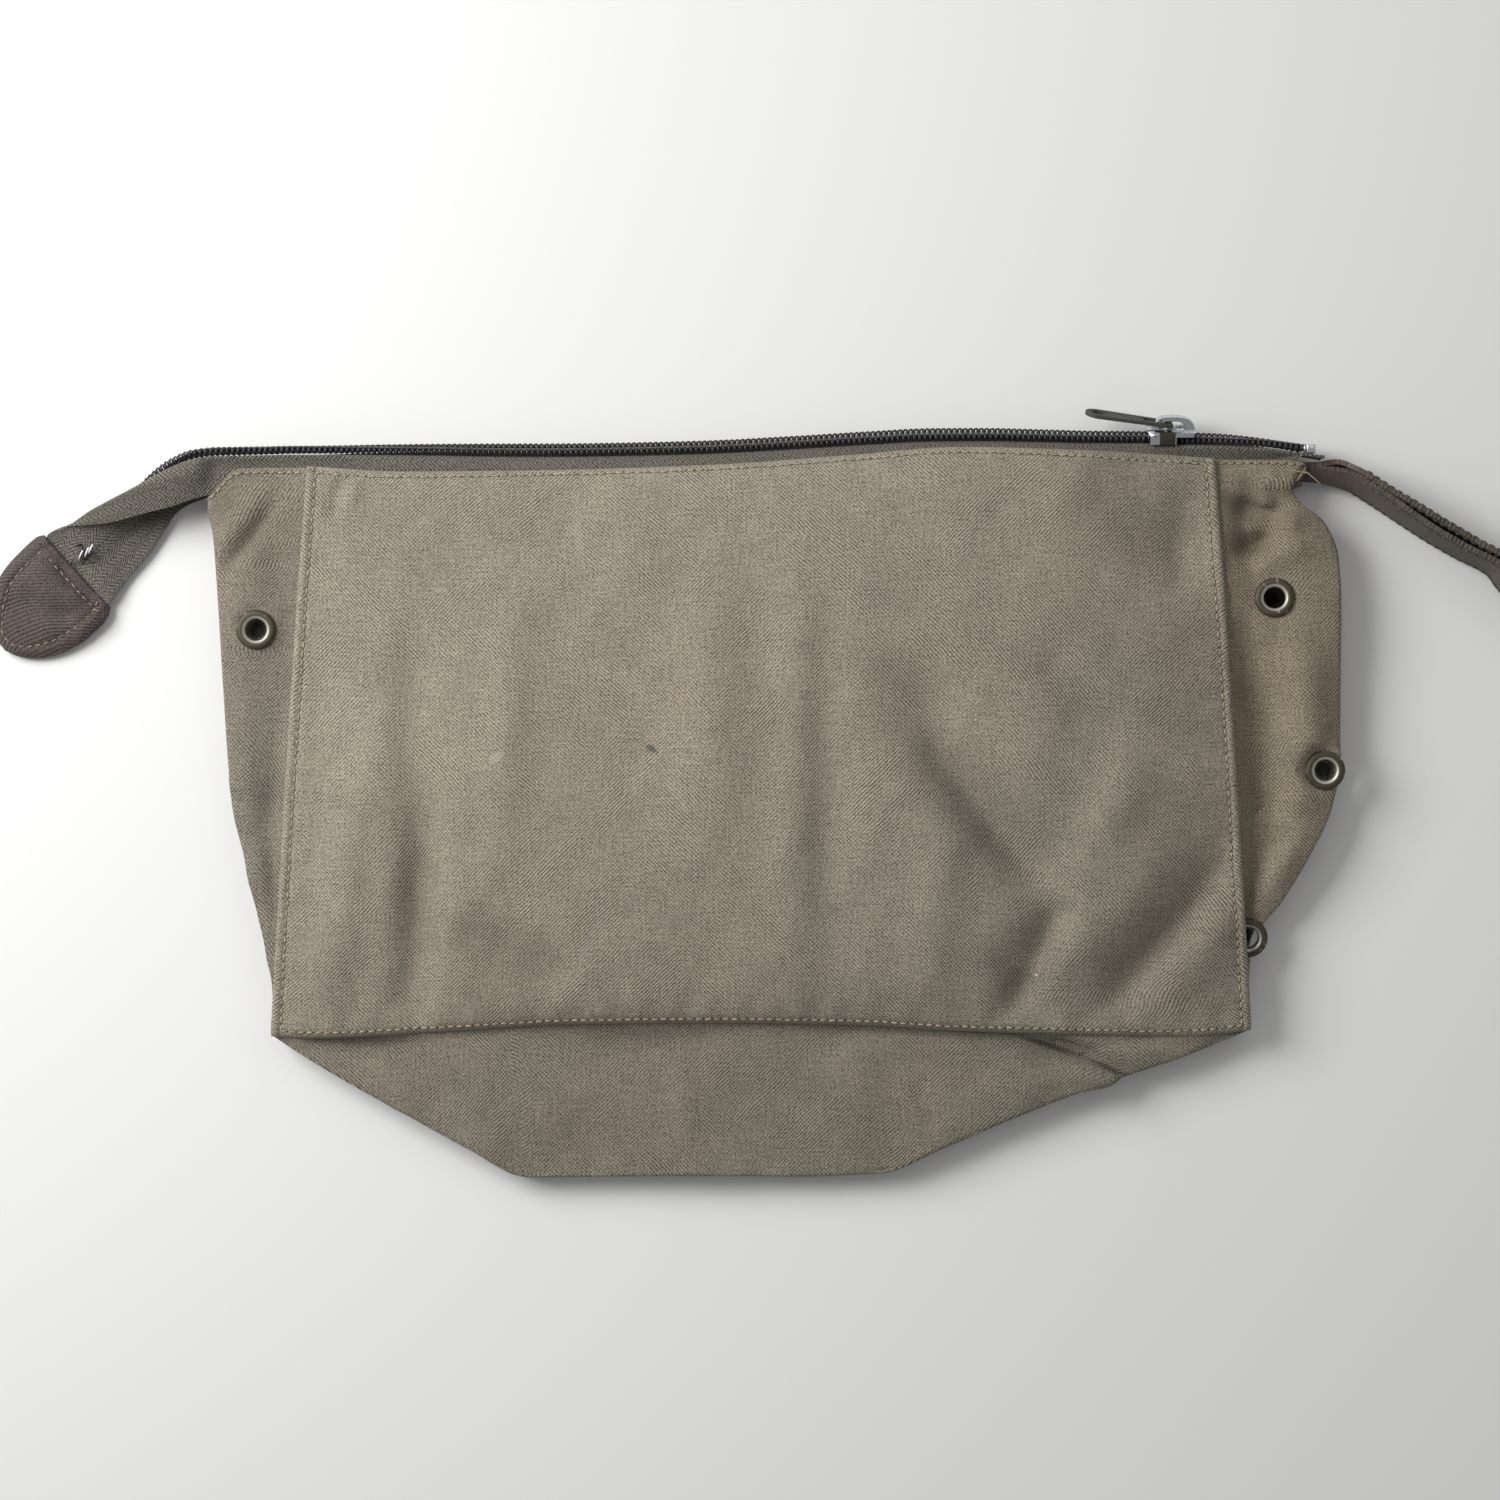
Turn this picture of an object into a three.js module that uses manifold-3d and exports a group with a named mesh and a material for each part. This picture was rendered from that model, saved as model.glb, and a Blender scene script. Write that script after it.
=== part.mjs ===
// A canvas toiletry bag that lies on its back with the zip closed.
// +X runs along the zip, +Y from the bottom of the bag to the zip, +Z up from the surface under it.
// The origin is the centre of the back panel's resting face. Lengths are in millimetres.
import * as THREE from "three";
import Module from "manifold-3d";
import { mergeGeometries, mergeVertices } from "three/addons/utils/BufferGeometryUtils.js";

const wasm = await Module();
wasm.setup();

// Driving dimensions of the bag
const bottomWidth = 300;
const topWidth = 277.5;
const panelHeight = 173.5;
const bagDepth = 95;
const mouthDepth = 76;
const bulgeHeight = 27;
const panelWall = 1.2;
const stripWall = 1;
const gap = 0.3;
const seamLap = 3.5;

// Driving dimensions of the zip
const tapeHalf = 15;
const tapeWall = 0.8;
const tapeTuck = 8;
const coilWide = 2.8;
const coilThick = 2.4;
const coilSplit = 0.2;
const neckSplit = 0.9;
const mouthSplit = 1.4;
const zipTail = 52;
const zipHead = 34;
const stopLong = 2.8;
const stapleLong = 4.4;
const stapleWide = 6.4;
const stapleThick = 0.6;
const prongApart = 3;
const prongWide = 1.2;

// Driving dimensions of the slider and its pull
const sliderFromCorner = 12.75;
const sliderAt = topWidth / 2 - sliderFromCorner;
const sliderLong = 14.6;
const sliderWide = 10.4;
const sliderPlate = 1.4;
const flangeLong = 8.6;
const bridgeLong = 12.8;
const bridgeHigh = 4;
const bridgeThick = 3;
const bridgeSetBack = 1.8;
const pullLong = 26.3;
const pullWide = 8;
const pullThick = 1.2;
const pullWindow = 8.3;
const pullBar = 1.6;
const pullHoleLong = 5;
const pullHoleWide = 4.4;
const pullLift = 8.5;
const pullStrut = 1.4;

// Driving dimensions of the end tab, the hanging loop and the eyelets
const tabLong = 33;
const tabWide = 36;
const tabHigh = 5.4;
const tabWall = 1;
const tabCorners = 10;
const loopLong = 75;
const loopWide = 16;
const loopWall = 1.6;
const eyeletHole = 6.6;
const eyeletWide = 12.2;
const eyeletThick = 0.5;
const eyeletRoll = 1.2;

const halfDepth = bagDepth / 2;
const cornerCut = 0.055;
const leftFold = THREE.MathUtils.degToRad(31.5);
const rightFold = THREE.MathUtils.degToRad(22);
const drawDepth = 3;
const drawLength = 110;
const creaseDepth = 2;

// Heights above the bottom corners, as shares of the panel height, where the side walls have a section
const levels = [0, 0.07, 0.15, 0.225, 0.31, 0.4, 0.48, 0.62, 0.75, 0.83, 0.89, 0.925, 0.955, 1];
// Places along the bag, as shares of the panel width, where the bottom and the zip have a section
const stations = [0, 0.03, 0.08, 0.14, 0.2, 0.26, 0.34, 0.44, 0.54, 0.62, 0.69, 0.75, 0.81, 0.87, 0.93, 0.97, 1];

// How far the panel's top edge stands above a straight line, as a share of the panel height
const topEdge = table(["at", "rise"], [
  [0, -0.008], [0.1, -0.018], [0.25, -0.016], [0.45, -0.006], [0.6, 0.011],
  [0.72, 0.025], [0.85, 0.02], [1, 0.006],
]);
const bottomEdge = table(["at", "rise"], [
  [0, -0.011], [0.04, -0.014], [0.18, -0.002], [0.3, 0.01], [0.45, 0.013],
  [0.6, 0.009], [0.7, -0.001], [0.85, -0.009], [0.93, -0.011], [1, 0],
]);
// Height of the front panel's side seams, as a share of the bulge height
const seamHeight = table(["at", "high"], [
  [0, 0.44], [0.15, 0.5], [0.31, 0.56], [0.48, 0.6], [0.75, 0.6], [0.89, 0.54], [1, 0.48],
]);
// Soft folds of the front panel: the middle as shares of width and height, the length and width as
// shares of the height, the turn in degrees from the zip's line, the rise as a share of the bulge height
const frontFolds = table(["x", "y", "long", "wide", "turn", "rise"], [
  [0.145, 0.2, 0.42, 0.075, 88, -0.12],
  [0.07, 0.28, 0.4, 0.07, 86, 0.07],
  [0.23, 0.5, 0.5, 0.09, 88, 0.07],
  [0.45, 0.6, 0.5, 0.12, 90, 0.06],
  [0.565, 0.45, 0.6, 0.07, 90, -0.05],
  [0.73, 0.38, 0.3, 0.075, -50, -0.16],
  [0.785, 0.13, 0.2, 0.06, 62, -0.15],
  [0.68, 0.2, 0.3, 0.09, 80, 0.08],
  [0.92, 0.16, 0.3, 0.06, 46, -0.12],
  [0.85, 0.33, 0.35, 0.09, 60, 0.1],
  [0.97, 0.88, 0.2, 0.08, 70, -0.1],
]);

// Side wall sections, from the bottom up. crease: how far the fold stands out of the seam, as a share of half
// the depth. dip: the valley beside the seam, as a share of the bulge height. flat: how far the fold is pressed down, as
// a share of its height. inset: how far the seam draws in under the panel, sink: how far the wall drops below it.
const wallColumns = ["at", "crease", "dip", "flat", "inset", "sink"];
const leftWall = table(wallColumns, [
  [0, 0.006, 0, 0.14, 0, 0], [0.07, 0.01, 0, 0.14, 0, 0], [0.15, 0.073, 0, 0.14, 0, 0],
  [0.225, 0.148, 0.01, 0.14, 0, 0], [0.31, 0.24, 0.03, 0.14, 0, 0], [0.4, 0.34, 0.04, 0.16, 0, 0],
  [0.48, 0.387, 0.05, 0.2, 0, 0], [0.62, 0.455, 0.04, 0.28, 0, 0], [0.75, 0.515, 0.02, 0.3, 0, 0],
  [0.83, 0.555, 0.06, 0.3, 0, 0], [0.89, 0.59, 0.03, 0.3, 0, 0], [0.925, 0.615, 0, 0.16, 0, 0],
  [0.955, 0.635, 0, 0.1, 0, 0], [1, 0.65, 0, 0.1, 0, 0],
]);
const rightWall = table(wallColumns, [
  [0, 0.006, 0, 0.14, 0, 0], [0.07, 0.01, 0, 0.14, 0, 0.02], [0.15, 0.05, 0, 0.14, 0.12, 0.06],
  [0.225, 0.26, 0.06, 0.16, 0.06, 0.04], [0.31, 0.465, 0.14, 0.3, 0, 0], [0.4, 0.63, 0.2, 0.45, 0, 0],
  [0.48, 0.69, 0.2, 0.5, 0, 0], [0.62, 0.725, 0.16, 0.4, 0, 0], [0.75, 0.76, 0.06, 0.3, 0, 0],
  [0.83, 0.765, 0.12, 0.3, 0, 0], [0.89, 0.69, 0.14, 0.3, 0, 0], [0.925, 0.545, 0.08, 0.16, 0, 0],
  [0.955, 0.49, 0, 0.1, 0, 0], [1, 0.6, 0, 0.1, 0, 0],
]);

// The zip's line: how far the coil stands above the panel's top edge, as a share of the panel height,
// and how far its face leans to the front, in degrees
const zipLine = table(["at", "rise", "lean"], [
  [-0.1, 0.03, 0], [0, 0.034, 5], [0.1, 0.044, 16], [0.25, 0.041, 28], [0.45, 0.037, 28], [0.6, 0.034, 28],
  [0.72, 0.028, 28], [0.85, 0.029, 24], [0.95, 0.036, 20], [1, 0.038, 16], [1.055, 0.032, 8], [1.12, 0.016, 0],
]);
// The free end of the zip, past the left corner. ahead and drop: the coil from where it leaves the bag, high: its
// height, as shares of the tail. turn and climb: the way from the coil to the front half of the tape, in degrees.
// The edges: their turn in degrees, their reach from the coil and their height as shares of the half tape.
const tail = table(
  ["ahead", "drop", "high", "turn", "climb", "frontTurn", "frontReach", "frontHigh", "crest",
    "backTurn", "backReach", "backHigh"], [
    [0.14, 0.016, 0.15, 100, 88, 270, 0.93, 0.74, 0.1, 268, 0.95, 0.16],
    [0.27, 0.075, 0.135, 110, 80, 274, 0.87, 0.78, 0.16, 272, 0.97, 0.16],
    [0.4, 0.185, 0.108, 120, 58, 262, 0.64, 0.76, 0.28, 284, 0.98, 0.15],
    [0.53, 0.335, 0.077, 122, 42, 214, 0.56, 0.64, 0.36, 292, 0.98, 0.13],
    [0.67, 0.49, 0.054, 125, 24, 166, 0.7, 0.5, 0.3, 294, 0.98, 0.13],
    [0.79, 0.63, 0.036, 132, 5, 146, 0.93, 0.28, 0.14, 301, 0.98, 0.2],
    [0.85, 0.71, 0.016, 136, 0, 137, 0.92, 0.18, 0.02, 313, 0.92, 0.18],
    [0.96, 0.84, 0.01, 136, 0, 137, 0.88, 0.16, 0, 316, 0.88, 0.16],
  ]);
const tailCoilRows = 6;
const tailSpare = 0.4;
// The end tab: the outline on both sides as shares of its width, the height as a share of its full height
const tabRows = table(["along", "low", "high", "tall"], [
  [0, -0.41, 0.43, 1], [0.06, -0.45, 0.46, 0.98], [0.16, -0.475, 0.465, 0.94], [0.34, -0.475, 0.46, 0.88],
  [0.55, -0.44, 0.43, 0.8], [0.73, -0.37, 0.335, 0.7], [0.87, -0.27, 0.22, 0.6], [0.955, -0.17, 0.1, 0.5],
]);
// The hanging loop's route from the right corner. ahead and drop as shares of the loop's length,
// wide as a share of its own width, high: its middle above the surface as a share of its width, lean in degrees
const loopRows = table(["ahead", "drop", "wide", "high", "lean"], [
  [-0.03, 0, 0.3, 0.4, 0], [0.01, 0, 0.3, 0.4, 0], [0.09, -0.01, 0.55, 0.45, 0], [0.165, 0.018, 0.85, 0.5, 2],
  [0.29, 0.1, 1, 0.54, 2], [0.42, 0.178, 1, 0.54, 2], [0.56, 0.262, 1, 0.54, 3], [0.745, 0.36, 1, 0.54, 4],
  [0.82, 0.385, 1, 0.54, 4], [0.9, 0.425, 1, 0.54, 4], [0.955, 0.48, 1, 0.54, 5], [0.965, 0.54, 1, 0.54, 6],
  [0.92, 0.575, 1, 0.54, 7], [0.85, 0.55, 1, 0.54, 8], [0.79, 0.49, 1, 0.54, 10], [0.745, 0.43, 1, 0.54, 12],
  [0.6, 0.352, 1, 0.54, 12], [0.475, 0.28, 1, 0.54, 12], [0.355, 0.205, 1, 0.54, 12],
  [0.245, 0.13, 0.95, 0.52, 10], [0.17, 0.078, 0.8, 0.49, 8],
  [0.1, 0.062, 0.55, 0.44, 4], [0.01, 0.066, 0.3, 0.4, 0], [-0.03, 0.066, 0.3, 0.4, 0],
]);
// Eyelets: the side, the height as a share of the panel height, the way out from the seam as a share of half the depth
const eyelets = [
  { name: "eyelet_left_top", side: -1, at: 0.714, out: 0.265 },
  { name: "eyelet_right_top", side: 1, at: 0.757, out: 0.335 },
  { name: "eyelet_right_middle", side: 1, at: 0.455, out: 0.59 },
  { name: "eyelet_right_low", side: 1, at: 0.16, out: 0.03 },
];

const canvasCloth = finish(0x8d8577, 0.95, 0);
const stripCloth = finish(0x857c6c, 0.95, 0);
const tapeCloth = finish(0x7b7668, 0.95, 0);
const tabCloth = finish(0x655c58, 0.95, 0);
const coilPlastic = finish(0x26242b, 0.45, 0);
const brightMetal = finish(0xc9cbd0, 0.2, 1);
const darkMetal = finish(0x4a4a46, 0.5, 0.4);
const eyeletPaint = finish(0x6b6655, 0.35, 0.6);

function finish(color, roughness, metalness) {
  return new THREE.MeshStandardMaterial({ color, roughness, metalness });
}

// Rows of numbers become rows with named columns.
function table(columns, rows) {
  return rows.map((row) => Object.fromEntries(columns.map((name, i) => [name, row[i]])));
}

function mix(a, b, share) {
  return a + (b - a) * share;
}

function limit(value, low, high) {
  return Math.min(high, Math.max(low, value));
}

function ease(value) {
  const share = limit(value, 0, 1);
  return share * share * (3 - 2 * share);
}

// Reads a column of a table between its rows, on straight lines.
function read(rows, at, column) {
  const next = rows.findIndex((row) => row.at >= at);
  if (next <= 0) return (next === 0 ? rows[0] : rows[rows.length - 1])[column];
  const before = rows[next - 1];
  const after = rows[next];
  return mix(before[column], after[column], (at - before.at) / (after.at - before.at));
}

// The front panel's middle surface. across and up run from 0 to 1, from the bottom left corner.
function frontPoint(across, up) {
  const halfWidth = mix(bottomWidth, topWidth, up) / 2;
  const low = -panelHeight / 2 + panelHeight * read(bottomEdge, across, "rise");
  const top = panelHeight / 2 + panelHeight * read(topEdge, across, "rise");
  const edge = read(seamHeight, up, "high");
  const dome = 1 - Math.abs(2 * across - 1) ** 2.8;
  const crown = (4 * up * (1 - up)) ** 0.55;
  const calm = limit(Math.min(across, 1 - across, up, 1 - up) / 0.05, 0, 1);
  let high = edge + (1 - edge) * dome * crown;
  for (const fold of frontFolds) {
    const turn = THREE.MathUtils.degToRad(fold.turn);
    const x = ((across - fold.x) * bottomWidth) / panelHeight;
    const y = up - fold.y;
    const along = (x * Math.cos(turn) + y * Math.sin(turn)) / (fold.long / 2);
    const beside = (-x * Math.sin(turn) + y * Math.cos(turn)) / (fold.wide / 2);
    high += calm * fold.rise * Math.exp(-(along ** 4) - beside ** 2);
  }
  return new THREE.Vector3(mix(-halfWidth, halfWidth, across), mix(low, top, up), high * bulgeHeight);
}

// The back panel lies flat, with the front panel's outline.
function backPoint(across, up) {
  return frontPoint(across, up).setZ(panelWall / 2);
}

// A closed wall of even thickness around a grid of points on its middle surface.
function wallSolid(grid, wall) {
  const rows = grid.length;
  const columns = grid[0].length;
  const position = [];
  const index = [];
  const along = new THREE.Vector3();
  const over = new THREE.Vector3();
  for (const side of [0.5, -0.5]) {
    for (let r = 0; r < rows; r++) {
      for (let c = 0; c < columns; c++) {
        along.subVectors(grid[Math.min(r + 1, rows - 1)][c], grid[Math.max(r - 1, 0)][c]);
        over.subVectors(grid[r][Math.min(c + 1, columns - 1)], grid[r][Math.max(c - 1, 0)]);
        const normal = along.cross(over).normalize();
        const point = grid[r][c].clone().addScaledVector(normal, side * wall);
        position.push(...point.toArray());
      }
    }
  }
  const back = rows * columns;
  const at = (r, c) => r * columns + c;
  const quad = (a, b, c, d) => index.push(a, b, c, a, c, d);
  for (let r = 0; r + 1 < rows; r++) {
    for (let c = 0; c + 1 < columns; c++) {
      quad(at(r, c), at(r + 1, c), at(r + 1, c + 1), at(r, c + 1));
      quad(back + at(r, c), back + at(r, c + 1), back + at(r + 1, c + 1), back + at(r + 1, c));
    }
  }
  const rim = [];
  for (let c = 0; c + 1 < columns; c++) rim.push(at(0, c));
  for (let r = 0; r + 1 < rows; r++) rim.push(at(r, columns - 1));
  for (let c = columns - 1; c > 0; c--) rim.push(at(rows - 1, c));
  for (let r = rows - 1; r > 0; r--) rim.push(at(r, 0));
  rim.forEach((a, i) => {
    const b = rim[(i + 1) % rim.length];
    quad(a, b, back + b, back + a);
  });
  return facingOut(position, index);
}

// A closed bar through rings of points, all with the same number of points.
function barSolid(rings) {
  const count = rings[0].length;
  const position = rings.flat().flatMap((point) => point.toArray());
  const index = [];
  for (let r = 0; r + 1 < rings.length; r++) {
    for (let i = 0; i < count; i++) {
      const a = r * count + i;
      const b = r * count + ((i + 1) % count);
      index.push(a, b, b + count, a, b + count, a + count);
    }
  }
  const last = (rings.length - 1) * count;
  for (let i = 1; i + 1 < count; i++) {
    index.push(0, i + 1, i);
    index.push(last, last + i, last + i + 1);
  }
  return facingOut(position, index);
}

function facingOut(position, index) {
  let volume = 0;
  const corner = (i) => new THREE.Vector3().fromArray(position, 3 * index[i]);
  for (let i = 0; i < index.length; i += 3) volume += corner(i).dot(corner(i + 1).cross(corner(i + 2)));
  if (volume < 0) index.reverse();
  const geometry = new THREE.BufferGeometry();
  geometry.setAttribute("position", new THREE.Float32BufferAttribute(position, 3));
  geometry.setIndex(index);
  return geometry;
}

function asManifold(geometry) {
  const bare = geometry.index ? geometry.toNonIndexed() : geometry.clone();
  bare.deleteAttribute("normal");
  bare.deleteAttribute("uv");
  const merged = mergeVertices(bare, 1e-3);
  return new wasm.Manifold(new wasm.Mesh({
    numProp: 3,
    vertProperties: merged.attributes.position.array,
    triVerts: new Uint32Array(merged.index.array),
  }));
}

function asGeometry(solid) {
  const mesh = solid.getMesh();
  const geometry = new THREE.BufferGeometry();
  geometry.setAttribute("position", new THREE.Float32BufferAttribute(mesh.vertProperties, 3));
  geometry.setIndex(new THREE.BufferAttribute(mesh.triVerts, 1));
  return geometry;
}

// One section across a wall that is folded between the front and the back seam, as points on its middle surface.
// It leaves the front seam, turns back at an outer crease, runs in along the tuck, turns at its middle and
// comes back the same way to the back seam. With no tuck it is one round fold.
function foldedSection({ front, back, out, crease, tuck, inward, lap, inset, dip, flat }) {
  const middle = (front.z + back.z) / 2;
  const half = (front.z - back.z) / 2;
  const outerHigh = half * (1 - flat);
  const round = outerHigh / 3;
  const tucked = limit(tuck / (3 * round), 0, 1);
  const start = Math.min(-inset, crease - round - gap);
  const spot = (distance, inwardBy, high) => [distance, inwardBy, high];
  const points = [spot(start - lap, 0, half), spot(start, 0, half)];
  for (const [share, part] of [[0.3, -1], [0.72, 0.35]]) {
    points.push(spot(mix(start, crease - round, share), 0, mix(half, outerHigh, share) + part * dip));
  }
  const folded = [90, 45, 0, -45, -90].map((angle) => {
    const turn = THREE.MathUtils.degToRad(angle);
    return spot(crease - (angle > 0 ? round * (1 - Math.cos(turn)) : 0),
      angle > 0 ? 0 : round * (1 - Math.cos(turn)), outerHigh - round + round * Math.sin(turn));
  });
  folded.push(spot(crease, tuck / 2, round));
  for (const angle of [90, 45, 0]) {
    const turn = THREE.MathUtils.degToRad(angle);
    folded.push(spot(crease, tuck - round * (1 - Math.cos(turn)), round * Math.sin(turn)));
  }
  folded.forEach((point, i) => {
    const turn = (Math.PI / 2) * (1 - i / (folded.length - 1));
    const nose = spot(crease - round * (1 - Math.cos(turn)), 0, outerHigh * Math.sin(turn));
    points.push(point.map((value, axis) => mix(nose[axis], value, tucked)));
  });
  const mirrored = points.slice(0, -1).map(([distance, inwardBy, high]) => [distance, inwardBy, -high]).reverse();
  return [...points, ...mirrored].map(([distance, inwardBy, high]) => {
    const seam = new THREE.Vector3().lerpVectors(back, front, limit((high / half + 1) / 2, 0, 1));
    seam.z = middle + high;
    return seam.addScaledVector(out, distance).addScaledVector(inward, inwardBy);
  });
}

// Where the strip's middle surface lies at the seams, under the front panel and over the back panel.
function seamPoints(across, up, sink) {
  const under = panelWall / 2 + gap + stripWall / 2;
  const front = frontPoint(across, up);
  const back = backPoint(across, up);
  front.z -= under + sink;
  back.z += under;
  return { front, back };
}

// A side wall's section. The top edge falls towards the fold, so that the zip can leave over it.
function sideSection(side, up) {
  const rows = side < 0 ? leftWall : rightWall;
  const fold = side < 0 ? leftFold : rightFold;
  const across = side < 0 ? 0 : 1;
  const cornerStart = 1.9;
  const above = up * panelHeight;
  const sink = read(rows, up, "sink") * halfDepth;
  const { front, back } = seamPoints(across, up, sink);
  const lift = Math.max(0, cornerStart - above);
  front.y += lift;
  back.y += lift;
  const crease = read(rows, up, "crease") * halfDepth;
  const half = mix(bagDepth, mouthDepth, up) / 2;
  const turnUp = (Math.PI / 2 - 2 * fold) * (1 - ease(up / 0.7));
  const section = foldedSection({
    front,
    back,
    out: new THREE.Vector3(side, 0, 0),
    crease,
    tuck: Math.max(0, half - crease),
    inward: new THREE.Vector3(-side * Math.cos(turnUp), Math.sin(turnUp), 0),
    lap: limit(above - 0.5, gap, seamLap),
    inset: read(rows, up, "inset") * halfDepth,
    dip: read(rows, up, "dip") * bulgeHeight,
    flat: read(rows, up, "flat"),
  });
  const fade = ease((up - 0.86) / 0.14);
  return section.map((point) => {
    const out = side * (point.x - front.x);
    point.y -= cornerCut * panelHeight * fade * limit((out - 0.55 * half) / (0.28 * half), 0, 1);
    return point;
  });
}

// The bottom panel's section. Its corners are folded in along a slanting crease.
function bottomSection(across) {
  const endStart = 0.4;
  const { front, back } = seamPoints(across, 0, 0);
  const leftWay = across * bottomWidth;
  const rightWay = (1 - across) * bottomWidth;
  front.x += Math.max(0, endStart - leftWay) - Math.max(0, endStart - rightWay);
  back.x = front.x;
  const left = leftWay < rightWay;
  const fold = left ? leftFold : rightFold;
  const way = left ? leftWay : rightWay;
  const drawn = left ? 0 : drawDepth * Math.sin(Math.PI * limit(way / drawLength, 0, 1));
  const straight = way * Math.tan(fold) - drawn;
  const blend = 3;
  const crease = Math.max(0.006 * halfDepth, softLow(straight, halfDepth, blend));
  return foldedSection({
    front,
    back,
    out: new THREE.Vector3(0, -1, 0),
    crease,
    tuck: Math.max(0, halfDepth - crease),
    inward: new THREE.Vector3((left ? 1 : -1) * Math.sin(2 * fold), Math.cos(2 * fold), 0),
    lap: limit(way - 0.6, gap, seamLap),
    inset: 0,
    dip: creaseDepth * limit(1 - Math.abs(across - 0.81) / 0.08, 0, 1),
    flat: mix(0.5, 0.14, ease((halfDepth - crease - 1) / 12)),
  });
}

// The lower of two values, with a round corner where they meet.
function softLow(a, b, blend) {
  const near = limit(0.5 + (b - a) / (2 * blend), 0, 1);
  return mix(b, a, near) - blend * near * (1 - near);
}

// The coil's middle along the mouth of the bag, with the way its face looks and the way to its front half.
function zipAt(across) {
  const x = mix(-topWidth / 2, topWidth / 2, across);
  const inside = limit(across, 0, 1);
  const hem = frontPoint(inside, 1);
  const lean = THREE.MathUtils.degToRad(read(zipLine, across, "lean"));
  const middle = (hem.z + panelWall / 2) / 2 + 1.2;
  return {
    hem,
    coil: new THREE.Vector3(x, hem.y + panelHeight * read(zipLine, across, "rise"), middle),
    face: new THREE.Vector3(0, Math.cos(lean), Math.sin(lean)),
    front: new THREE.Vector3(0, -Math.sin(lean), Math.cos(lean)),
  };
}

// Half the distance between the two coil rows.
function splitAt(x) {
  const before = sliderAt - sliderLong / 2;
  const after = sliderAt + sliderLong / 2;
  const inSlider = mix(coilSplit, neckSplit, ease((x - before) / (sliderLong * 0.6)));
  return mix(inSlider, mouthSplit, ease((x - after) / 14));
}

const zipFromEdge = coilThick / 2 + gap + tapeWall / 2;
const headEnd = (topWidth / 2 + zipHead) / topWidth + 0.5;
const tailStart = -28.5 / topWidth;
const mouthAcross = [tailStart, -0.075, -0.05, -0.02, ...stations.slice(1, -3), 0.9, 0.925, 0.945, 0.965, 0.985,
  1.01, 1.035, 1.06, 1.08, 1.1, headEnd];

// Places along the zip, as shares of the width past a corner, and how the tape changes there
const cornerEase = { from: -0.08, over: 0.05 };
const slopeEase = { over: 0.06, drop: 0.7 };
const untuck = { from: 1.06, over: 0.035 };
const narrowing = { from: 1.08, over: 0.02, by: 3.2 };
const gathering = { from: 1.07, over: 0.03, spare: 0.4 };

// One half of the zip's tape along the mouth: from the coil, over the hem, to its tucked edge.
function mouthTape(across, half) {
  const { hem, coil, face, front } = zipAt(across);
  const split = splitAt(coil.x) + 0.1;
  const inner = coil.clone().addScaledVector(face, -zipFromEdge);
  const first = inner.clone().addScaledVector(front, half * split);
  const second = inner.clone().addScaledVector(front, half * (split + coilWide + 0.3));
  const past = Math.max(-across, across - 1);
  const corner = ease((past - cornerEase.from) / cornerEase.over);
  const under = (panelWall + tapeWall) / 2 + gap + corner * (stripWall + gap);
  const slope = limit(past / slopeEase.over, 0, 1) * slopeEase.drop;
  const outside = half > 0 ? hem.z - under - slope : panelWall / 2 + under + slope;
  const tuckedBy = tapeTuck * (1 - ease((across - untuck.from) / untuck.over))
    - narrowing.by * ease((across - narrowing.from) / narrowing.over);
  const gather = ease((across - gathering.from) / gathering.over);
  const low = mix(hem.y - tuckedBy, second.y - gathering.spare, gather);
  const high = mix(outside, second.z, gather);
  const third = new THREE.Vector3(coil.x, mix(second.y, low, 0.3), mix(second.z, high, 0.95));
  const fourth = new THREE.Vector3(coil.x, mix(second.y, low, 0.65), high);
  const fifth = new THREE.Vector3(coil.x, low, high);
  return [first, second, third, fourth, fifth];
}

// Where the coil runs in the free end of the zip, with the same directions as along the mouth.
function tailAt(row, next) {
  const leave = zipAt(tailStart).coil;
  const place = (r) => new THREE.Vector3(leave.x - r.ahead * zipTail, leave.y - r.drop * zipTail, r.high * zipTail);
  const coil = place(row);
  const onward = next ? place(next).sub(coil) : coil.clone().sub(place(tail[tail.length - 2]));
  const turn = THREE.MathUtils.degToRad(row.turn);
  const climb = THREE.MathUtils.degToRad(row.climb);
  const front = new THREE.Vector3(
    Math.cos(turn) * Math.cos(climb), Math.sin(turn) * Math.cos(climb), Math.sin(climb));
  const face = onward.normalize().cross(front).normalize();
  return { coil, face, front };
}

function tailTape(row, i, half) {
  const { coil, face, front } = tailAt(row, tail[i + 1]);
  const inner = coil.clone().addScaledVector(face, -zipFromEdge - tailSpare);
  const split = coilSplit + 0.1;
  const first = inner.clone().addScaledVector(front, half * split);
  const second = inner.clone().addScaledVector(front, half * (split + coilWide + 1.2));
  const turn = THREE.MathUtils.degToRad(half > 0 ? row.frontTurn : row.backTurn);
  const reach = tapeHalf * (half > 0 ? row.frontReach : row.backReach);
  const high = tapeHalf * (half > 0 ? row.frontHigh : row.backHigh);
  const edge = new THREE.Vector3(coil.x + Math.cos(turn) * reach, coil.y + Math.sin(turn) * reach, high);
  const crest = half > 0 ? tapeHalf * row.crest : 0;
  const third = second.clone().lerp(edge, 0.33).addScaledVector(front, crest * 0.8);
  const fourth = second.clone().lerp(edge, 0.68).addScaledVector(front, crest * 0.4);
  return [first, second, third, fourth, edge];
}

function tapeSolid(half) {
  const tailPart = tail.map((row, i) => tailTape(row, i, half)).reverse();
  return wallSolid([...tailPart, ...mouthAcross.map((across) => mouthTape(across, half))], tapeWall);
}

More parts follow.
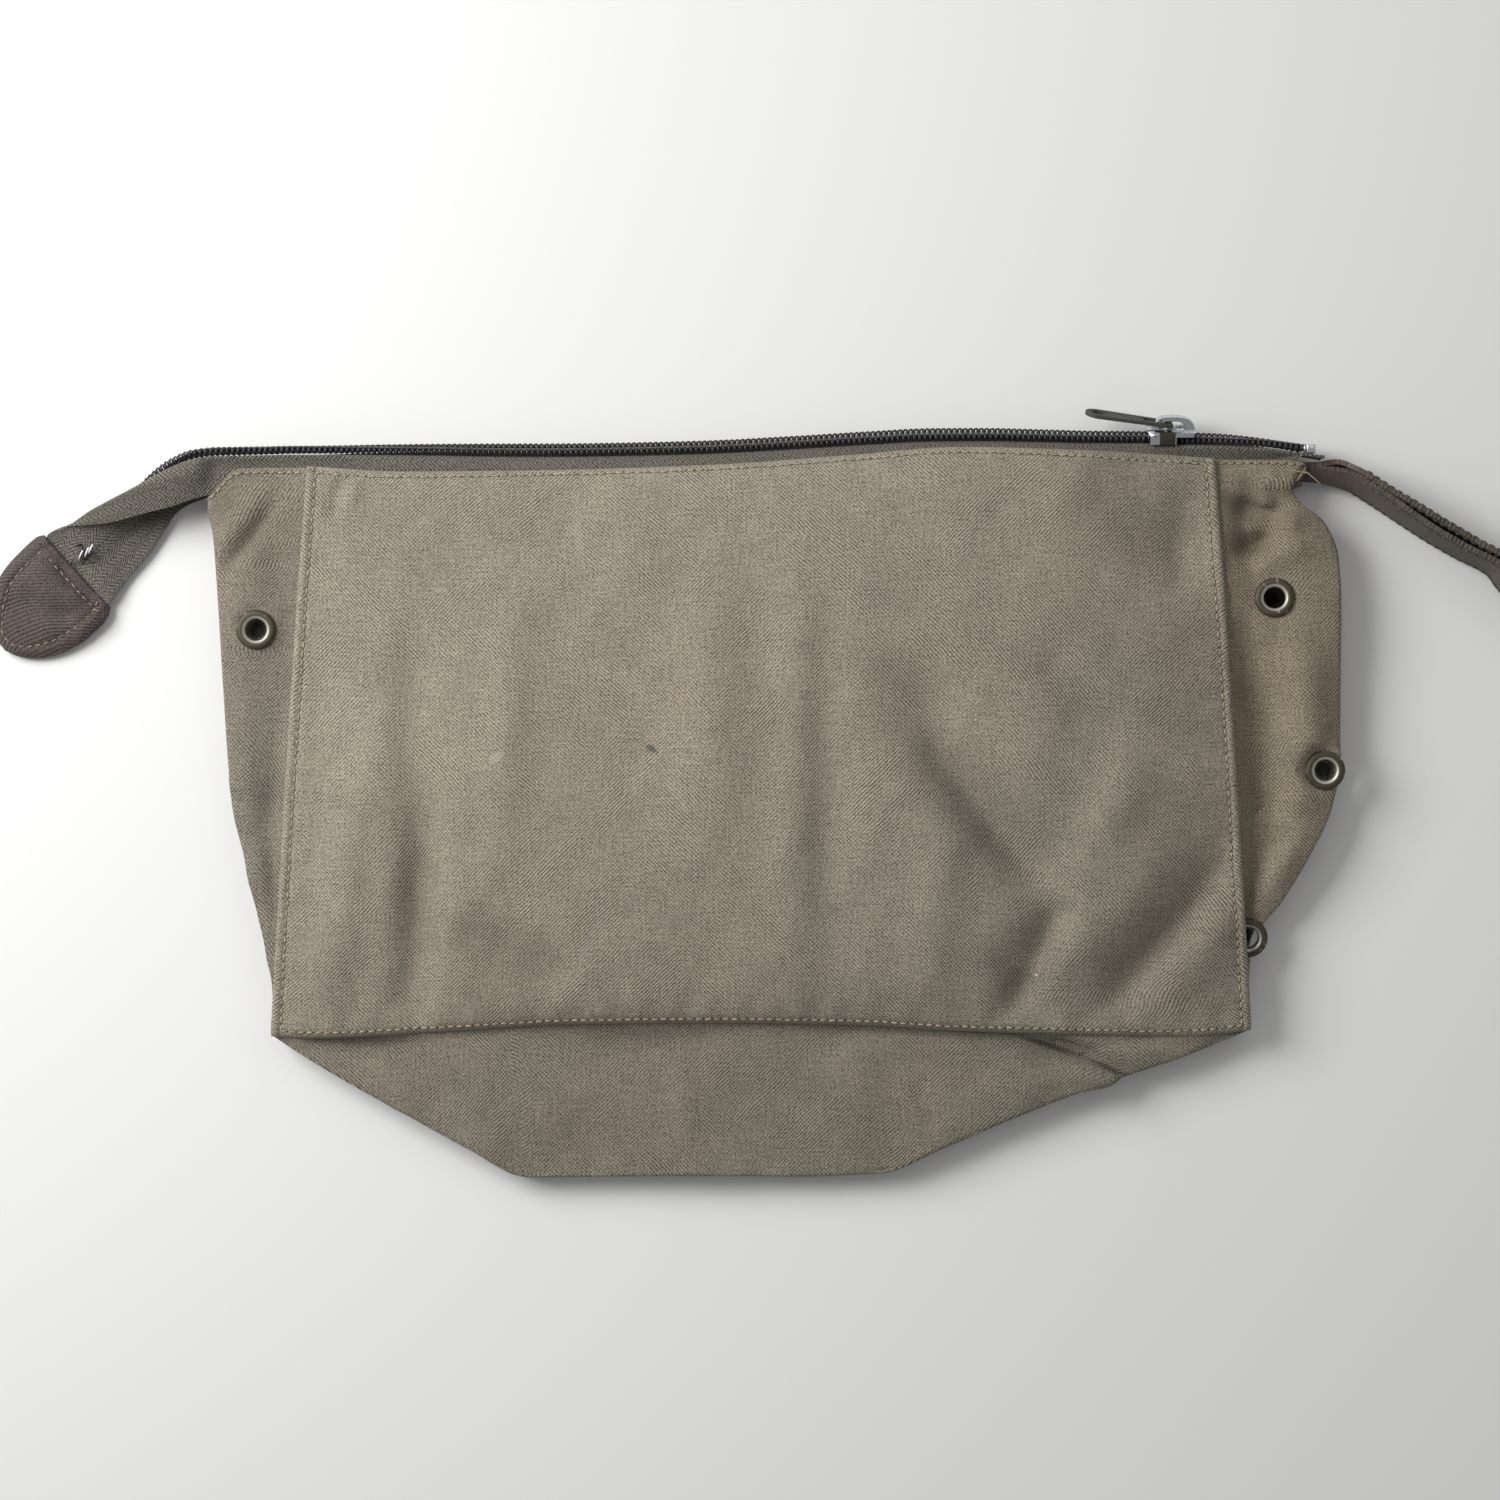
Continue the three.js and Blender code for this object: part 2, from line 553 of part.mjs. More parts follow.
// One row of the coil, as a bar with bevelled corners.
function coilSolid(half) {
  const ring = ({ coil, face, front }, split) => {
    const centre = coil.clone().addScaledVector(front, half * (split + coilWide / 2));
    const corners = [[0.5, 0.25], [0.3, 0.5], [-0.3, 0.5], [-0.5, 0.25], [-0.5, -0.5], [0.5, -0.5]];
    return corners.map(([wide, thick]) => centre.clone()
      .addScaledVector(front, wide * coilWide)
      .addScaledVector(face, thick * coilThick));
  };
  const tailPart = tail.slice(0, tailCoilRows).map((row, i) => ring(tailAt(row, tail[i + 1]), coilSplit)).reverse();
  const mouthPart = mouthAcross.slice(0, -1).map((across) => {
    const spot = zipAt(across);
    return ring(spot, splitAt(spot.coil.x));
  });
  return barSolid([...tailPart, ...mouthPart]);
}

// Places a geometry that is drawn in a zip part's own directions: x along the zip, y out of its face, z to the front.
function seated(geometry, { coil, face, front }) {
  const along = new THREE.Vector3().crossVectors(face, front);
  geometry.applyMatrix4(new THREE.Matrix4().makeBasis(along, face, front).setPosition(coil));
  return geometry;
}

function block(x0, x1, y0, y1, z0, z1) {
  const box = new THREE.BoxGeometry(x1 - x0, y1 - y0, z1 - z0);
  return box.translate((x0 + x1) / 2, (y0 + y1) / 2, (z0 + z1) / 2);
}

// A plate of even thickness from an outline in the xy plane, centred on z.
function plate(shape, thick) {
  const geometry = new THREE.ExtrudeGeometry(shape, { depth: thick, bevelEnabled: false, curveSegments: 8 });
  return geometry.translate(0, 0, -thick / 2);
}

const sliderSpot = zipAt((sliderAt + topWidth / 2) / topWidth);
const topPlateLow = coilThick / 2 + gap;
const topPlateHigh = topPlateLow + sliderPlate;
const lowPlateHigh = -zipFromEdge - tapeWall / 2 - gap;
const bridgeStart = -sliderLong / 2 + bridgeSetBack;
const barAt = new THREE.Vector2(bridgeStart + 0.4 * bridgeLong, topPlateHigh + 0.32 * bridgeHigh + 0.1);

// The slider: two plates around the coil, a neck between its rows, side flanges and the bridge for the pull.
function sliderSolid() {
  const half = sliderLong / 2;
  const outline = new THREE.Shape();
  outline.moveTo(-half, -sliderWide * 0.36);
  outline.lineTo(-half + flangeLong * 0.5, -sliderWide / 2);
  outline.lineTo(half - 1.5, -sliderWide / 2);
  outline.quadraticCurveTo(half, -sliderWide / 2, half, -sliderWide * 0.3);
  outline.lineTo(half, sliderWide * 0.3);
  outline.quadraticCurveTo(half, sliderWide / 2, half - 1.5, sliderWide / 2);
  outline.lineTo(-half + flangeLong * 0.5, sliderWide / 2);
  outline.lineTo(-half, sliderWide * 0.36);
  const top = plate(outline, sliderPlate).rotateX(Math.PI / 2).translate(0, (topPlateLow + topPlateHigh) / 2, 0);
  const lowHalf = coilWide - coilSplit;
  const low = block(-half + 1, half, lowPlateHigh - sliderPlate, lowPlateHigh, -lowHalf, lowHalf);
  const neckHalf = neckSplit - gap - 0.05;
  const neck = block(half - 2, half, lowPlateHigh - 0.5, topPlateLow + 0.5, -neckHalf, neckHalf);
  const bridgeEnd = bridgeStart + bridgeLong;
  const arch = new THREE.Shape();
  arch.moveTo(bridgeStart, topPlateHigh - 0.4);
  arch.bezierCurveTo(bridgeStart, topPlateHigh + bridgeHigh * 1.15, bridgeStart + 0.3 * bridgeLong,
    topPlateHigh + bridgeHigh, bridgeStart + 0.5 * bridgeLong, topPlateHigh + bridgeHigh);
  arch.bezierCurveTo(bridgeEnd - 0.2 * bridgeLong, topPlateHigh + bridgeHigh, bridgeEnd,
    topPlateHigh + bridgeHigh * 0.8, bridgeEnd, topPlateHigh - 0.4);
  const eye = new THREE.Path();
  const eyeLow = topPlateHigh + 0.05;
  const eyeHigh = topPlateHigh + bridgeHigh * 0.66;
  eye.moveTo(bridgeStart + 0.25 * bridgeLong, eyeLow);
  eye.lineTo(bridgeStart + 0.74 * bridgeLong, eyeLow);
  eye.quadraticCurveTo(bridgeStart + 0.74 * bridgeLong, eyeHigh, bridgeStart + 0.56 * bridgeLong, eyeHigh);
  eye.lineTo(bridgeStart + 0.34 * bridgeLong, eyeHigh);
  eye.quadraticCurveTo(bridgeStart + 0.25 * bridgeLong, eyeHigh, bridgeStart + 0.25 * bridgeLong, eyeLow);
  arch.holes.push(eye);
  let solid = asManifold(top).add(asManifold(low)).add(asManifold(neck)).add(asManifold(plate(arch, bridgeThick)));
  for (const side of [-1, 1]) {
    const inner = side * (neckSplit + coilWide + gap);
    const outer = (side * sliderWide) / 2;
    const flange = block(-half + 0.6, -half + flangeLong, -0.35 * coilThick, topPlateLow + 0.3,
      Math.min(inner, outer), Math.max(inner, outer));
    solid = solid.add(asManifold(flange));
  }
  return seated(asGeometry(solid), sliderSpot);
}

// The pull: a plate with a round hole at its end, and a window whose end bar hangs in the bridge.
function pullSolid() {
  const tip = -pullLong;
  const barHalf = pullBar / 2;
  const narrow = bridgeThick / 2 + gap + pullStrut;
  const outline = new THREE.Shape();
  outline.moveTo(barHalf, -narrow);
  outline.lineTo(-pullWindow, -narrow);
  outline.lineTo(tip + pullWide * 0.5, -pullWide / 2);
  outline.absarc(tip + pullWide * 0.5, 0, pullWide / 2, -Math.PI / 2, Math.PI / 2, true);
  outline.lineTo(-pullWindow, narrow);
  outline.lineTo(barHalf, narrow);
  const window = new THREE.Path();
  const windowHalf = bridgeThick / 2 + gap;
  window.moveTo(-barHalf, -windowHalf);
  window.lineTo(-barHalf, windowHalf);
  window.lineTo(-pullWindow, windowHalf);
  window.lineTo(-pullWindow, -windowHalf);
  const hole = new THREE.Path();
  hole.absellipse(tip + pullWide * 0.5 + 0.4, 0, pullHoleLong / 2, pullHoleWide / 2, 0, Math.PI * 2);
  outline.holes.push(window, hole);
  const flat = plate(outline, pullThick).rotateX(Math.PI / 2);
  flat.rotateZ(-THREE.MathUtils.degToRad(pullLift)).translate(barAt.x, barAt.y, 0);
  return seated(flat, sliderSpot);
}

// A top stop: a small clamp on the end of one coil row.
function topStopSolid(half) {
  const spot = zipAt(mouthAcross[mouthAcross.length - 2] + 0.008);
  const start = splitAt(spot.coil.x);
  const near = half * start;
  const far = half * (start + coilWide);
  const clamp = block(-stopLong / 2, stopLong / 2, -coilThick / 2, coilThick / 2 + 0.4,
    Math.min(near, far), Math.max(near, far));
  return seated(clamp, spot);
}

// The bottom stop: a staple whose two prongs show on the inner side of the tape.
function bottomStopSolid() {
  const row = tail[tailCoilRows - 1];
  const spot = tailAt(row, tail[tailCoilRows]);
  const over = -zipFromEdge - tailSpare - tapeWall / 2 - gap;
  const crossbar = block(-stapleLong / 2, stapleLong / 2, over - stapleThick, over, -stapleWide / 2, stapleWide / 2);
  let solid = asManifold(crossbar);
  for (const side of [-1, 1]) {
    const middle = (side * prongApart) / 2;
    const prong = block(-stapleLong / 2 + 0.2, stapleLong / 2 - 0.2, over - 2 * stapleThick - 0.1, over - stapleThick / 2,
      middle - prongWide / 2, middle + prongWide / 2);
    solid = solid.add(asManifold(prong));
  }
  return seated(asGeometry(solid), spot);
}

// The end tab: a flat pocket of cloth, open at the mouth, where the end of the tape goes in.
function tabSolid() {
  const mouth = tailAt(tail[6], tail[7]).coil;
  const along = new THREE.Vector3(-0.738, -0.675, 0).normalize();
  const beside = new THREE.Vector3(-along.y, along.x, 0);
  const ring = (row, shrink, lift) => {
    const low = -row.high * tabWide + shrink;
    const high = -row.low * tabWide - shrink;
    const tall = row.tall * tabHigh - 2 * shrink;
    const points = [];
    for (let i = 0; i < tabCorners; i++) {
      const angle = (i / tabCorners) * 2 * Math.PI;
      const wide = Math.sign(Math.cos(angle)) * Math.abs(Math.cos(angle)) ** 0.55;
      const thick = Math.sign(Math.sin(angle)) * Math.abs(Math.sin(angle)) ** 0.55;
      const point = new THREE.Vector3(mouth.x, mouth.y, 0).addScaledVector(along, row.along * tabLong + lift);
      point.addScaledVector(beside, mix(low, high, (wide + 1) / 2));
      point.z = (row.tall * tabHigh) / 2 + (thick * tall) / 2;
      points.push(point);
    }
    return points;
  };
  const tip = { along: 1, low: -0.09, high: -0.01, tall: 0.42 };
  const outer = barSolid([...tabRows, tip].map((row) => ring(row, 0, 0)));
  const pocket = tabRows.slice(0, -1).map((row, i) => ring(row, tabWall, i === 0 ? -2 : 0));
  return asGeometry(asManifold(outer).subtract(asManifold(barSolid(pocket))));
}

// The hanging loop: a folded band that stands on its edge, with both ends tucked into the right corner.
function loopSolid() {
  const corner = new THREE.Vector3(topWidth / 2 + 0.66 * halfDepth, frontPoint(1, 1).y, 0);
  const middle = loopRows.map((row) => new THREE.Vector3(
    corner.x + row.ahead * loopLong, corner.y - 1.2 - row.drop * loopLong, row.high * loopWide));
  const rings = loopRows.map((row, i) => {
    const before = middle[Math.max(i - 1, 0)];
    const after = middle[Math.min(i + 1, middle.length - 1)];
    const along = after.clone().sub(before).setZ(0).normalize();
    const thick = new THREE.Vector3(-along.y, along.x, 0);
    const lean = THREE.MathUtils.degToRad(row.lean);
    const up = new THREE.Vector3(0, 0, Math.cos(lean)).addScaledVector(thick, -Math.sin(lean));
    const high = (row.wide * loopWide) / 2;
    return [[-0.5, -1], [0.5, -1], [0.5, 1], [-0.5, 1]].map(([aside, above]) => middle[i].clone()
      .addScaledVector(thick, aside * loopWall)
      .addScaledVector(up, above * high));
  });
  return barSolid(rings);
}

// A point on the part of a side wall that shows, with the direction out of the wall.
function wallSpot({ side, at, out }) {
  const distance = out * halfDepth;
  const pick = (up, away) => {
    const section = sideSection(side, up).slice(0, 6);
    const x = frontPoint(side < 0 ? 0 : 1, up).x + side * away;
    const next = Math.max(1, section.findIndex((point) => side * (point.x - x) >= 0));
    const share = (x - section[next - 1].x) / (section[next].x - section[next - 1].x);
    return section[next - 1].clone().lerp(section[next], share);
  };
  const reach = 5;
  const upBy = reach / panelHeight;
  const place = pick(at, distance);
  const over = pick(at, distance + reach).sub(pick(at, distance - reach));
  const high = pick(at + upBy, distance).sub(pick(at - upBy, distance));
  const normal = over.cross(high).normalize();
  if (normal.z < 0) normal.negate();
  return { place, normal };
}

// An eyelet's profile from its bore outwards, around the wall's middle. spare grows it for the cut in the wall.
function eyeletProfile(spare) {
  const bore = eyeletHole / 2;
  const barrel = bore + eyeletThick + spare;
  const flange = eyeletWide / 2 + spare;
  const grip = stripWall / 2 + gap - spare;
  const low = -grip - eyeletThick - spare;
  const roll = grip + eyeletRoll + spare;
  const flangeLow = spare ? flange : flange * 0.9;
  const rim = spare ? [[flange, roll], [0, roll]]
    : [[flange * 0.96, grip + 0.5 * eyeletThick], [(flange + barrel) / 2 - 0.3, roll], [bore, roll - 0.35]];
  const inner = spare ? 0 : bore;
  const points = [[inner, low], [flangeLow, low], [flangeLow, -grip], [barrel, -grip], [barrel, grip],
    [flange, grip], ...rim];
  if (!spare) points.push(points[0]);
  return points.map(([x, y]) => new THREE.Vector2(x, y));
}

function eyeletSolid(spot, spare) {
  const ring = new THREE.LatheGeometry(eyeletProfile(spare), 16);
  const turn = new THREE.Quaternion().setFromUnitVectors(new THREE.Vector3(0, 1, 0), spot.normal);
  ring.applyQuaternion(turn).translate(spot.place.x, spot.place.y, spot.place.z);
  return ring;
}

function sideWallSolid(side) {
  const grid = levels.map((up) => sideSection(side, up));
  let solid = asManifold(wallSolid(grid, stripWall));
  for (const eyelet of eyelets.filter((one) => one.side === side)) {
    solid = solid.subtract(asManifold(eyeletSolid(wallSpot(eyelet), gap)));
  }
  return asGeometry(solid.simplify(gap / 30));
}

function add(group, name, geometry, material) {
  const mesh = new THREE.Mesh(geometry, material);
  mesh.name = name;
  group.add(mesh);
}

const bag = new THREE.Group();

// The two panels
const panelGrid = (point) => levels.map((up) => stations.map((across) => point(across, up)));
add(bag, "front_panel", wallSolid(panelGrid(frontPoint), panelWall), canvasCloth);
add(bag, "back_panel", wallSolid(panelGrid(backPoint), panelWall), canvasCloth);

// The folded strip between them
add(bag, "gusset_left", sideWallSolid(-1), stripCloth);
add(bag, "gusset_right", sideWallSolid(1), stripCloth);
add(bag, "bottom_panel", wallSolid(stations.map(bottomSection), stripWall), stripCloth);
for (const eyelet of eyelets) add(bag, eyelet.name, eyeletSolid(wallSpot(eyelet), 0), eyeletPaint);

// The zip
add(bag, "zip_tape_front", tapeSolid(1), tapeCloth);
add(bag, "zip_tape_back", tapeSolid(-1), tapeCloth);
add(bag, "zip_coil_front", coilSolid(1), coilPlastic);
add(bag, "zip_coil_back", coilSolid(-1), coilPlastic);
add(bag, "zip_top_stop_front", topStopSolid(1), brightMetal);
add(bag, "zip_top_stop_back", topStopSolid(-1), brightMetal);
add(bag, "zip_bottom_stop", bottomStopSolid(), brightMetal);
add(bag, "zip_slider", sliderSolid(), brightMetal);
add(bag, "zip_pull", pullSolid(), darkMetal);

// The end tab and the hanging loop
add(bag, "end_tab", tabSolid(), tabCloth);
add(bag, "hanging_loop", loopSolid(), tabCloth);

export default bag;
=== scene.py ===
# %% [markdown]
# # A canvas toiletry bag
#
# The bag lies on its back and is seen straight from above. Its cloth is folded flat, so the looks come from
# soft folds, seams with topstitching, a nylon zip and a few metal parts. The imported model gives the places;
# this lesson dresses it. All lengths below are in millimetres and are turned into metres when a mesh is made.

# %% Load the frame
import math
import bpy
import numpy as np
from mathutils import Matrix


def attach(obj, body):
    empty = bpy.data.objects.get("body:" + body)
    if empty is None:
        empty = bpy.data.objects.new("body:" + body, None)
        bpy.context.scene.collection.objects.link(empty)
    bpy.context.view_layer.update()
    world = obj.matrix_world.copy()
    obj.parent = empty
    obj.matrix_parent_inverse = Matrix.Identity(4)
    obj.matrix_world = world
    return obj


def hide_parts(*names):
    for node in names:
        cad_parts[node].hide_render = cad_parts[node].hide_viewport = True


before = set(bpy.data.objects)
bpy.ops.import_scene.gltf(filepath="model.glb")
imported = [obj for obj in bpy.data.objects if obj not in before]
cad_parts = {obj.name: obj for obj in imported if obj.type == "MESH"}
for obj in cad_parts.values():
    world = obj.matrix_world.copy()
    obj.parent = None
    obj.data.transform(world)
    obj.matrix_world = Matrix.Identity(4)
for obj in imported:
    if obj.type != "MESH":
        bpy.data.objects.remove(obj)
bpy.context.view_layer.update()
MM = 0.001
print("nodes in the frame:", len(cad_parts))

# %% [markdown]
# ## Camera and floor
#
# The real bag was looked at from straight above with a long lens, so the camera hangs over it and looks down.
# A lens of 85 mm from about a metre keeps the sides of the bag from showing. The floor is a plain pale plane,
# a little below zero so that the bag's resting face stays clear of it.

# %% Camera and floor
PIXEL = 0.3067
PHOTO_ORIGIN = (761, 746)
PHOTO_MIDDLE = 750
PHOTO_WIDTH = 1500


def from_photo(px, py):
    """A place in the photo, in pixels, as x and y on the bag in millimetres."""
    px, py = np.asarray(px, float), np.asarray(py, float)
    return (px - PHOTO_ORIGIN[0]) * PIXEL, (PHOTO_ORIGIN[1] - py) * PIXEL


def deselect():
    bpy.ops.object.select_all(action="DESELECT")


LENS, SENSOR, LOOK_HEIGHT = 85, 36, 12
middle_x, middle_y = from_photo(PHOTO_MIDDLE, PHOTO_MIDDLE)
distance = PHOTO_WIDTH * PIXEL * LENS / SENSOR
deselect()
bpy.ops.object.camera_add(
    location=(middle_x * MM, middle_y * MM, (LOOK_HEIGHT + distance) * MM), rotation=(0, 0, 0)
)
camera = bpy.context.object
camera.name = "camera_above"
camera.data.lens = LENS
camera.data.sensor_width = SENSOR
bpy.context.scene.camera = camera

deselect()
bpy.ops.mesh.primitive_plane_add(size=6, location=(0, 0, -0.0003))
floor = bpy.context.object
floor.name = "floor"
print("camera height, m:", round(camera.location.z, 3))

# %% [markdown]
# ## Light
#
# In the photo one soft light stands at the upper left, quite low and near: the left of the bag is brightest, and
# every fold has a dark side to the right. A pale world lifts the shadows. The Standard view keeps the colours
# that are set on the cloth.

# %% Light
LIGHTS = {
    "key": dict(place=(-0.66, 0.36, 0.6), size=0.55, power=9.4),
    "fill": dict(place=(0.3, 0.8, 1.2), size=1.2, power=2.0),
}
for name, light in LIGHTS.items():
    deselect()
    bpy.ops.object.light_add(type="AREA", location=light["place"])
    lamp = bpy.context.object
    lamp.name = "light_" + name
    lamp.data.energy = light["power"]
    lamp.data.size = light["size"]
    aim = -lamp.location.normalized()
    lamp.rotation_euler = aim.to_track_quat("-Z", "Y").to_euler()
world = bpy.data.worlds.new("soft_world")
bpy.context.scene.world = world
world.use_nodes = True
world.node_tree.nodes["Background"].inputs["Color"].default_value = (1, 1, 1, 1)
world.node_tree.nodes["Background"].inputs["Strength"].default_value = 0.27
bpy.context.scene.view_settings.view_transform = "Standard"
print("lights:", len(LIGHTS))

# %% [markdown]
# ## Sizes and tables
#
# The bag is a front and a back panel with a strip of cloth between them: two side walls and a bottom. Pressed
# flat, the strip folds outward and then back in. Every section of it is drawn from a few named sizes, so these
# come first. A table has one row for each section, and a smooth curve runs through the rows.

# %% Sizes and tables
BOTTOM_WIDTH, TOP_WIDTH, HEIGHT = 300, 277.5, 173.5
DEPTH, MOUTH_DEPTH = 95, 76
HALF_DEPTH = DEPTH / 2
FULLNESS = 27
PANEL_WALL, STRIP_WALL, GAP, SEAM_LAP = 1.2, 1.0, 0.3, 3.5
LEFT_FOLD, RIGHT_FOLD = math.radians(31.5), math.radians(22)
CORNER_CUT = 0.055
LEVELS = [0, 0.07, 0.15, 0.225, 0.31, 0.4, 0.48, 0.62, 0.75, 0.83, 0.89, 0.925, 0.955, 1]
STATIONS = [0, 0.03, 0.08, 0.14, 0.2, 0.26, 0.34, 0.44, 0.54, 0.62, 0.69, 0.75, 0.81, 0.87, 0.93, 0.97, 1]


def table(columns, rows):
    """Rows of numbers as named columns."""
    return {name: np.array([row[i] for row in rows], float) for i, name in enumerate(columns)}


def smooth(places, values, at):
    """A curve that passes through the values and never swings past them."""
    x, y = np.asarray(places, float), np.asarray(values, float)
    wide = [1] * (y.ndim - 1)
    rise = np.diff(y, axis=0) / np.diff(x).reshape(-1, *wide)
    both = rise[:-1] * rise[1:]
    total = np.where(both > 0, rise[:-1] + rise[1:], 1)
    slope = np.concatenate([rise[:1], np.where(both > 0, 2 * both / total, 0), rise[-1:]])
    at = np.asarray(at, float)
    flat = np.clip(at.ravel(), x[0], x[-1])
    i = np.clip(np.searchsorted(x, flat, side="right") - 1, 0, len(x) - 2)
    step = (x[i + 1] - x[i]).reshape(-1, *wide)
    t = ((flat - x[i])).reshape(-1, *wide) / step
    result = (
        (2 * t**3 - 3 * t**2 + 1) * y[i]
        + (t**3 - 2 * t**2 + t) * step * slope[i]
        + (3 * t**2 - 2 * t**3) * y[i + 1]
        + (t**3 - t**2) * step * slope[i + 1]
    )
    return result.reshape(at.shape + y.shape[1:])


def ease(value):
    share = np.clip(value, 0, 1)
    return share * share * (3 - 2 * share)


top_edge = table(["at", "rise"], [
    [0, -0.008], [0.1, -0.018], [0.25, -0.016], [0.45, -0.006], [0.6, 0.011],
    [0.72, 0.025], [0.85, 0.02], [1, 0.006],
])
bottom_edge = table(["at", "rise"], [
    [0, -0.011], [0.04, -0.014], [0.18, -0.002], [0.3, 0.01], [0.45, 0.013],
    [0.6, 0.009], [0.7, -0.001], [0.85, -0.009], [0.93, -0.011], [1, 0],
])
seam_height = table(["at", "high"], [
    [0, 0.44], [0.15, 0.5], [0.31, 0.56], [0.48, 0.6], [0.75, 0.6], [0.89, 0.54], [1, 0.48],
])
front_folds = table(["x", "y", "long", "wide", "turn", "rise"], [
    [0.145, 0.2, 0.42, 0.075, 88, -0.12],
    [0.07, 0.28, 0.4, 0.07, 86, 0.07],
    [0.23, 0.5, 0.5, 0.09, 88, 0.07],
    [0.45, 0.6, 0.5, 0.12, 90, 0.06],
    [0.565, 0.45, 0.6, 0.07, 90, -0.05],
    [0.73, 0.38, 0.3, 0.075, -50, -0.16],
    [0.785, 0.13, 0.2, 0.06, 62, -0.15],
    [0.68, 0.2, 0.3, 0.09, 80, 0.08],
    [0.92, 0.16, 0.3, 0.06, 46, -0.12],
    [0.85, 0.33, 0.35, 0.09, 60, 0.1],
    [0.97, 0.88, 0.2, 0.08, 70, -0.1],
])
wall_columns = ["at", "crease", "dip", "flat", "inset", "sink"]
left_wall = table(wall_columns, [
    [0, 0.006, 0, 0.14, 0, 0], [0.07, 0.01, 0, 0.14, 0, 0], [0.15, 0.073, 0, 0.14, 0, 0],
    [0.225, 0.148, 0.01, 0.14, 0, 0], [0.31, 0.24, 0.03, 0.14, 0, 0], [0.4, 0.34, 0.04, 0.16, 0, 0],
    [0.48, 0.387, 0.05, 0.2, 0, 0], [0.62, 0.455, 0.04, 0.28, 0, 0], [0.75, 0.515, 0.02, 0.3, 0, 0],
    [0.83, 0.555, 0.06, 0.3, 0, 0], [0.89, 0.59, 0.03, 0.3, 0, 0], [0.925, 0.615, 0, 0.16, 0, 0],
    [0.955, 0.635, 0, 0.1, 0, 0], [1, 0.65, 0, 0.1, 0, 0],
])
right_wall = table(wall_columns, [
    [0, 0.006, 0, 0.14, 0, 0], [0.07, 0.01, 0, 0.14, 0, 0.02], [0.15, 0.05, 0, 0.14, 0.12, 0.06],
    [0.225, 0.26, 0.06, 0.16, 0.06, 0.04], [0.31, 0.465, 0.14, 0.3, 0, 0], [0.4, 0.63, 0.2, 0.45, 0, 0],
    [0.48, 0.69, 0.2, 0.5, 0, 0], [0.62, 0.725, 0.16, 0.4, 0, 0], [0.75, 0.76, 0.06, 0.3, 0, 0],
    [0.83, 0.765, 0.12, 0.3, 0, 0], [0.89, 0.69, 0.14, 0.3, 0, 0], [0.925, 0.545, 0.08, 0.16, 0, 0],
    [0.955, 0.49, 0, 0.1, 0, 0], [1, 0.6, 0, 0.1, 0, 0],
])
print("sections of a side wall:", len(LEVELS))

# %% [markdown]
# ## The front panel's surface
#
# The panel is a low dome: highest in the middle, lower at its seams. Broad folds are soft ridges and troughs on
# it. Finer ones follow a path that was read from the photo, and each has a width and a depth. A turned edge
# makes a small ridge beside every seam, and the row of stitches presses a groove into the cloth.

# %% The front panel's surface
def front_surface(across, up):
    """Middle surface of the front panel. across and up run from 0 to 1 from its bottom left corner."""
    across, up = np.broadcast_arrays(np.asarray(across, float), np.asarray(up, float))
    half = (BOTTOM_WIDTH + (TOP_WIDTH - BOTTOM_WIDTH) * up) / 2
    low = HEIGHT * (-0.5 + smooth(bottom_edge["at"], bottom_edge["rise"], across))
    top = HEIGHT * (0.5 + smooth(top_edge["at"], top_edge["rise"], across))
    edge = smooth(seam_height["at"], seam_height["high"], up)
    dome = 1 - np.abs(2 * across - 1) ** 2.8
    crown = np.maximum(4 * up * (1 - up), 0) ** 0.55
    calm = np.clip(np.minimum.reduce([across, 1 - across, up, 1 - up]) / 0.05, 0, 1)
    high = edge + (1 - edge) * dome * crown
    for i in range(len(front_folds["x"])):
        turn = math.radians(front_folds["turn"][i])
        x = (across - front_folds["x"][i]) * BOTTOM_WIDTH / HEIGHT
        y = up - front_folds["y"][i]
        along = (x * math.cos(turn) + y * math.sin(turn)) / (front_folds["long"][i] / 2)
        beside = (-x * math.sin(turn) + y * math.cos(turn)) / (front_folds["wide"][i] / 2)
        high = high + calm * front_folds["rise"][i] * np.exp(-(along**4) - beside**2)
    return np.stack([-half + 2 * half * across, low + (top - low) * up, high * FULLNESS], -1)


def fold_along(x, y, path, width, depth):
    """Height of a fold that follows a path of photo points: negative depth is a trough. It fades at its ends."""
    px, py = from_photo(*np.array(path, float).T)
    lengths = np.hypot(np.diff(px), np.diff(py))
    start = np.concatenate([[0], np.cumsum(lengths)])
    near, at = np.full(x.shape, 1e9), np.zeros(x.shape)
    for i, length in enumerate(lengths):
        dx, dy = px[i + 1] - px[i], py[i + 1] - py[i]
        t = np.clip(((x - px[i]) * dx + (y - py[i]) * dy) / length**2, 0, 1)
        far = np.hypot(x - px[i] - t * dx, y - py[i] - t * dy)
        closer = far < near
        near, at = np.where(closer, far, near), np.where(closer, start[i] + t * length, at)
    ends = ease(at / (0.25 * start[-1])) * ease((start[-1] - at) / (0.25 * start[-1]))
    return depth * np.exp(-((near / width) ** 2)) * (0.15 + 0.85 * ends)


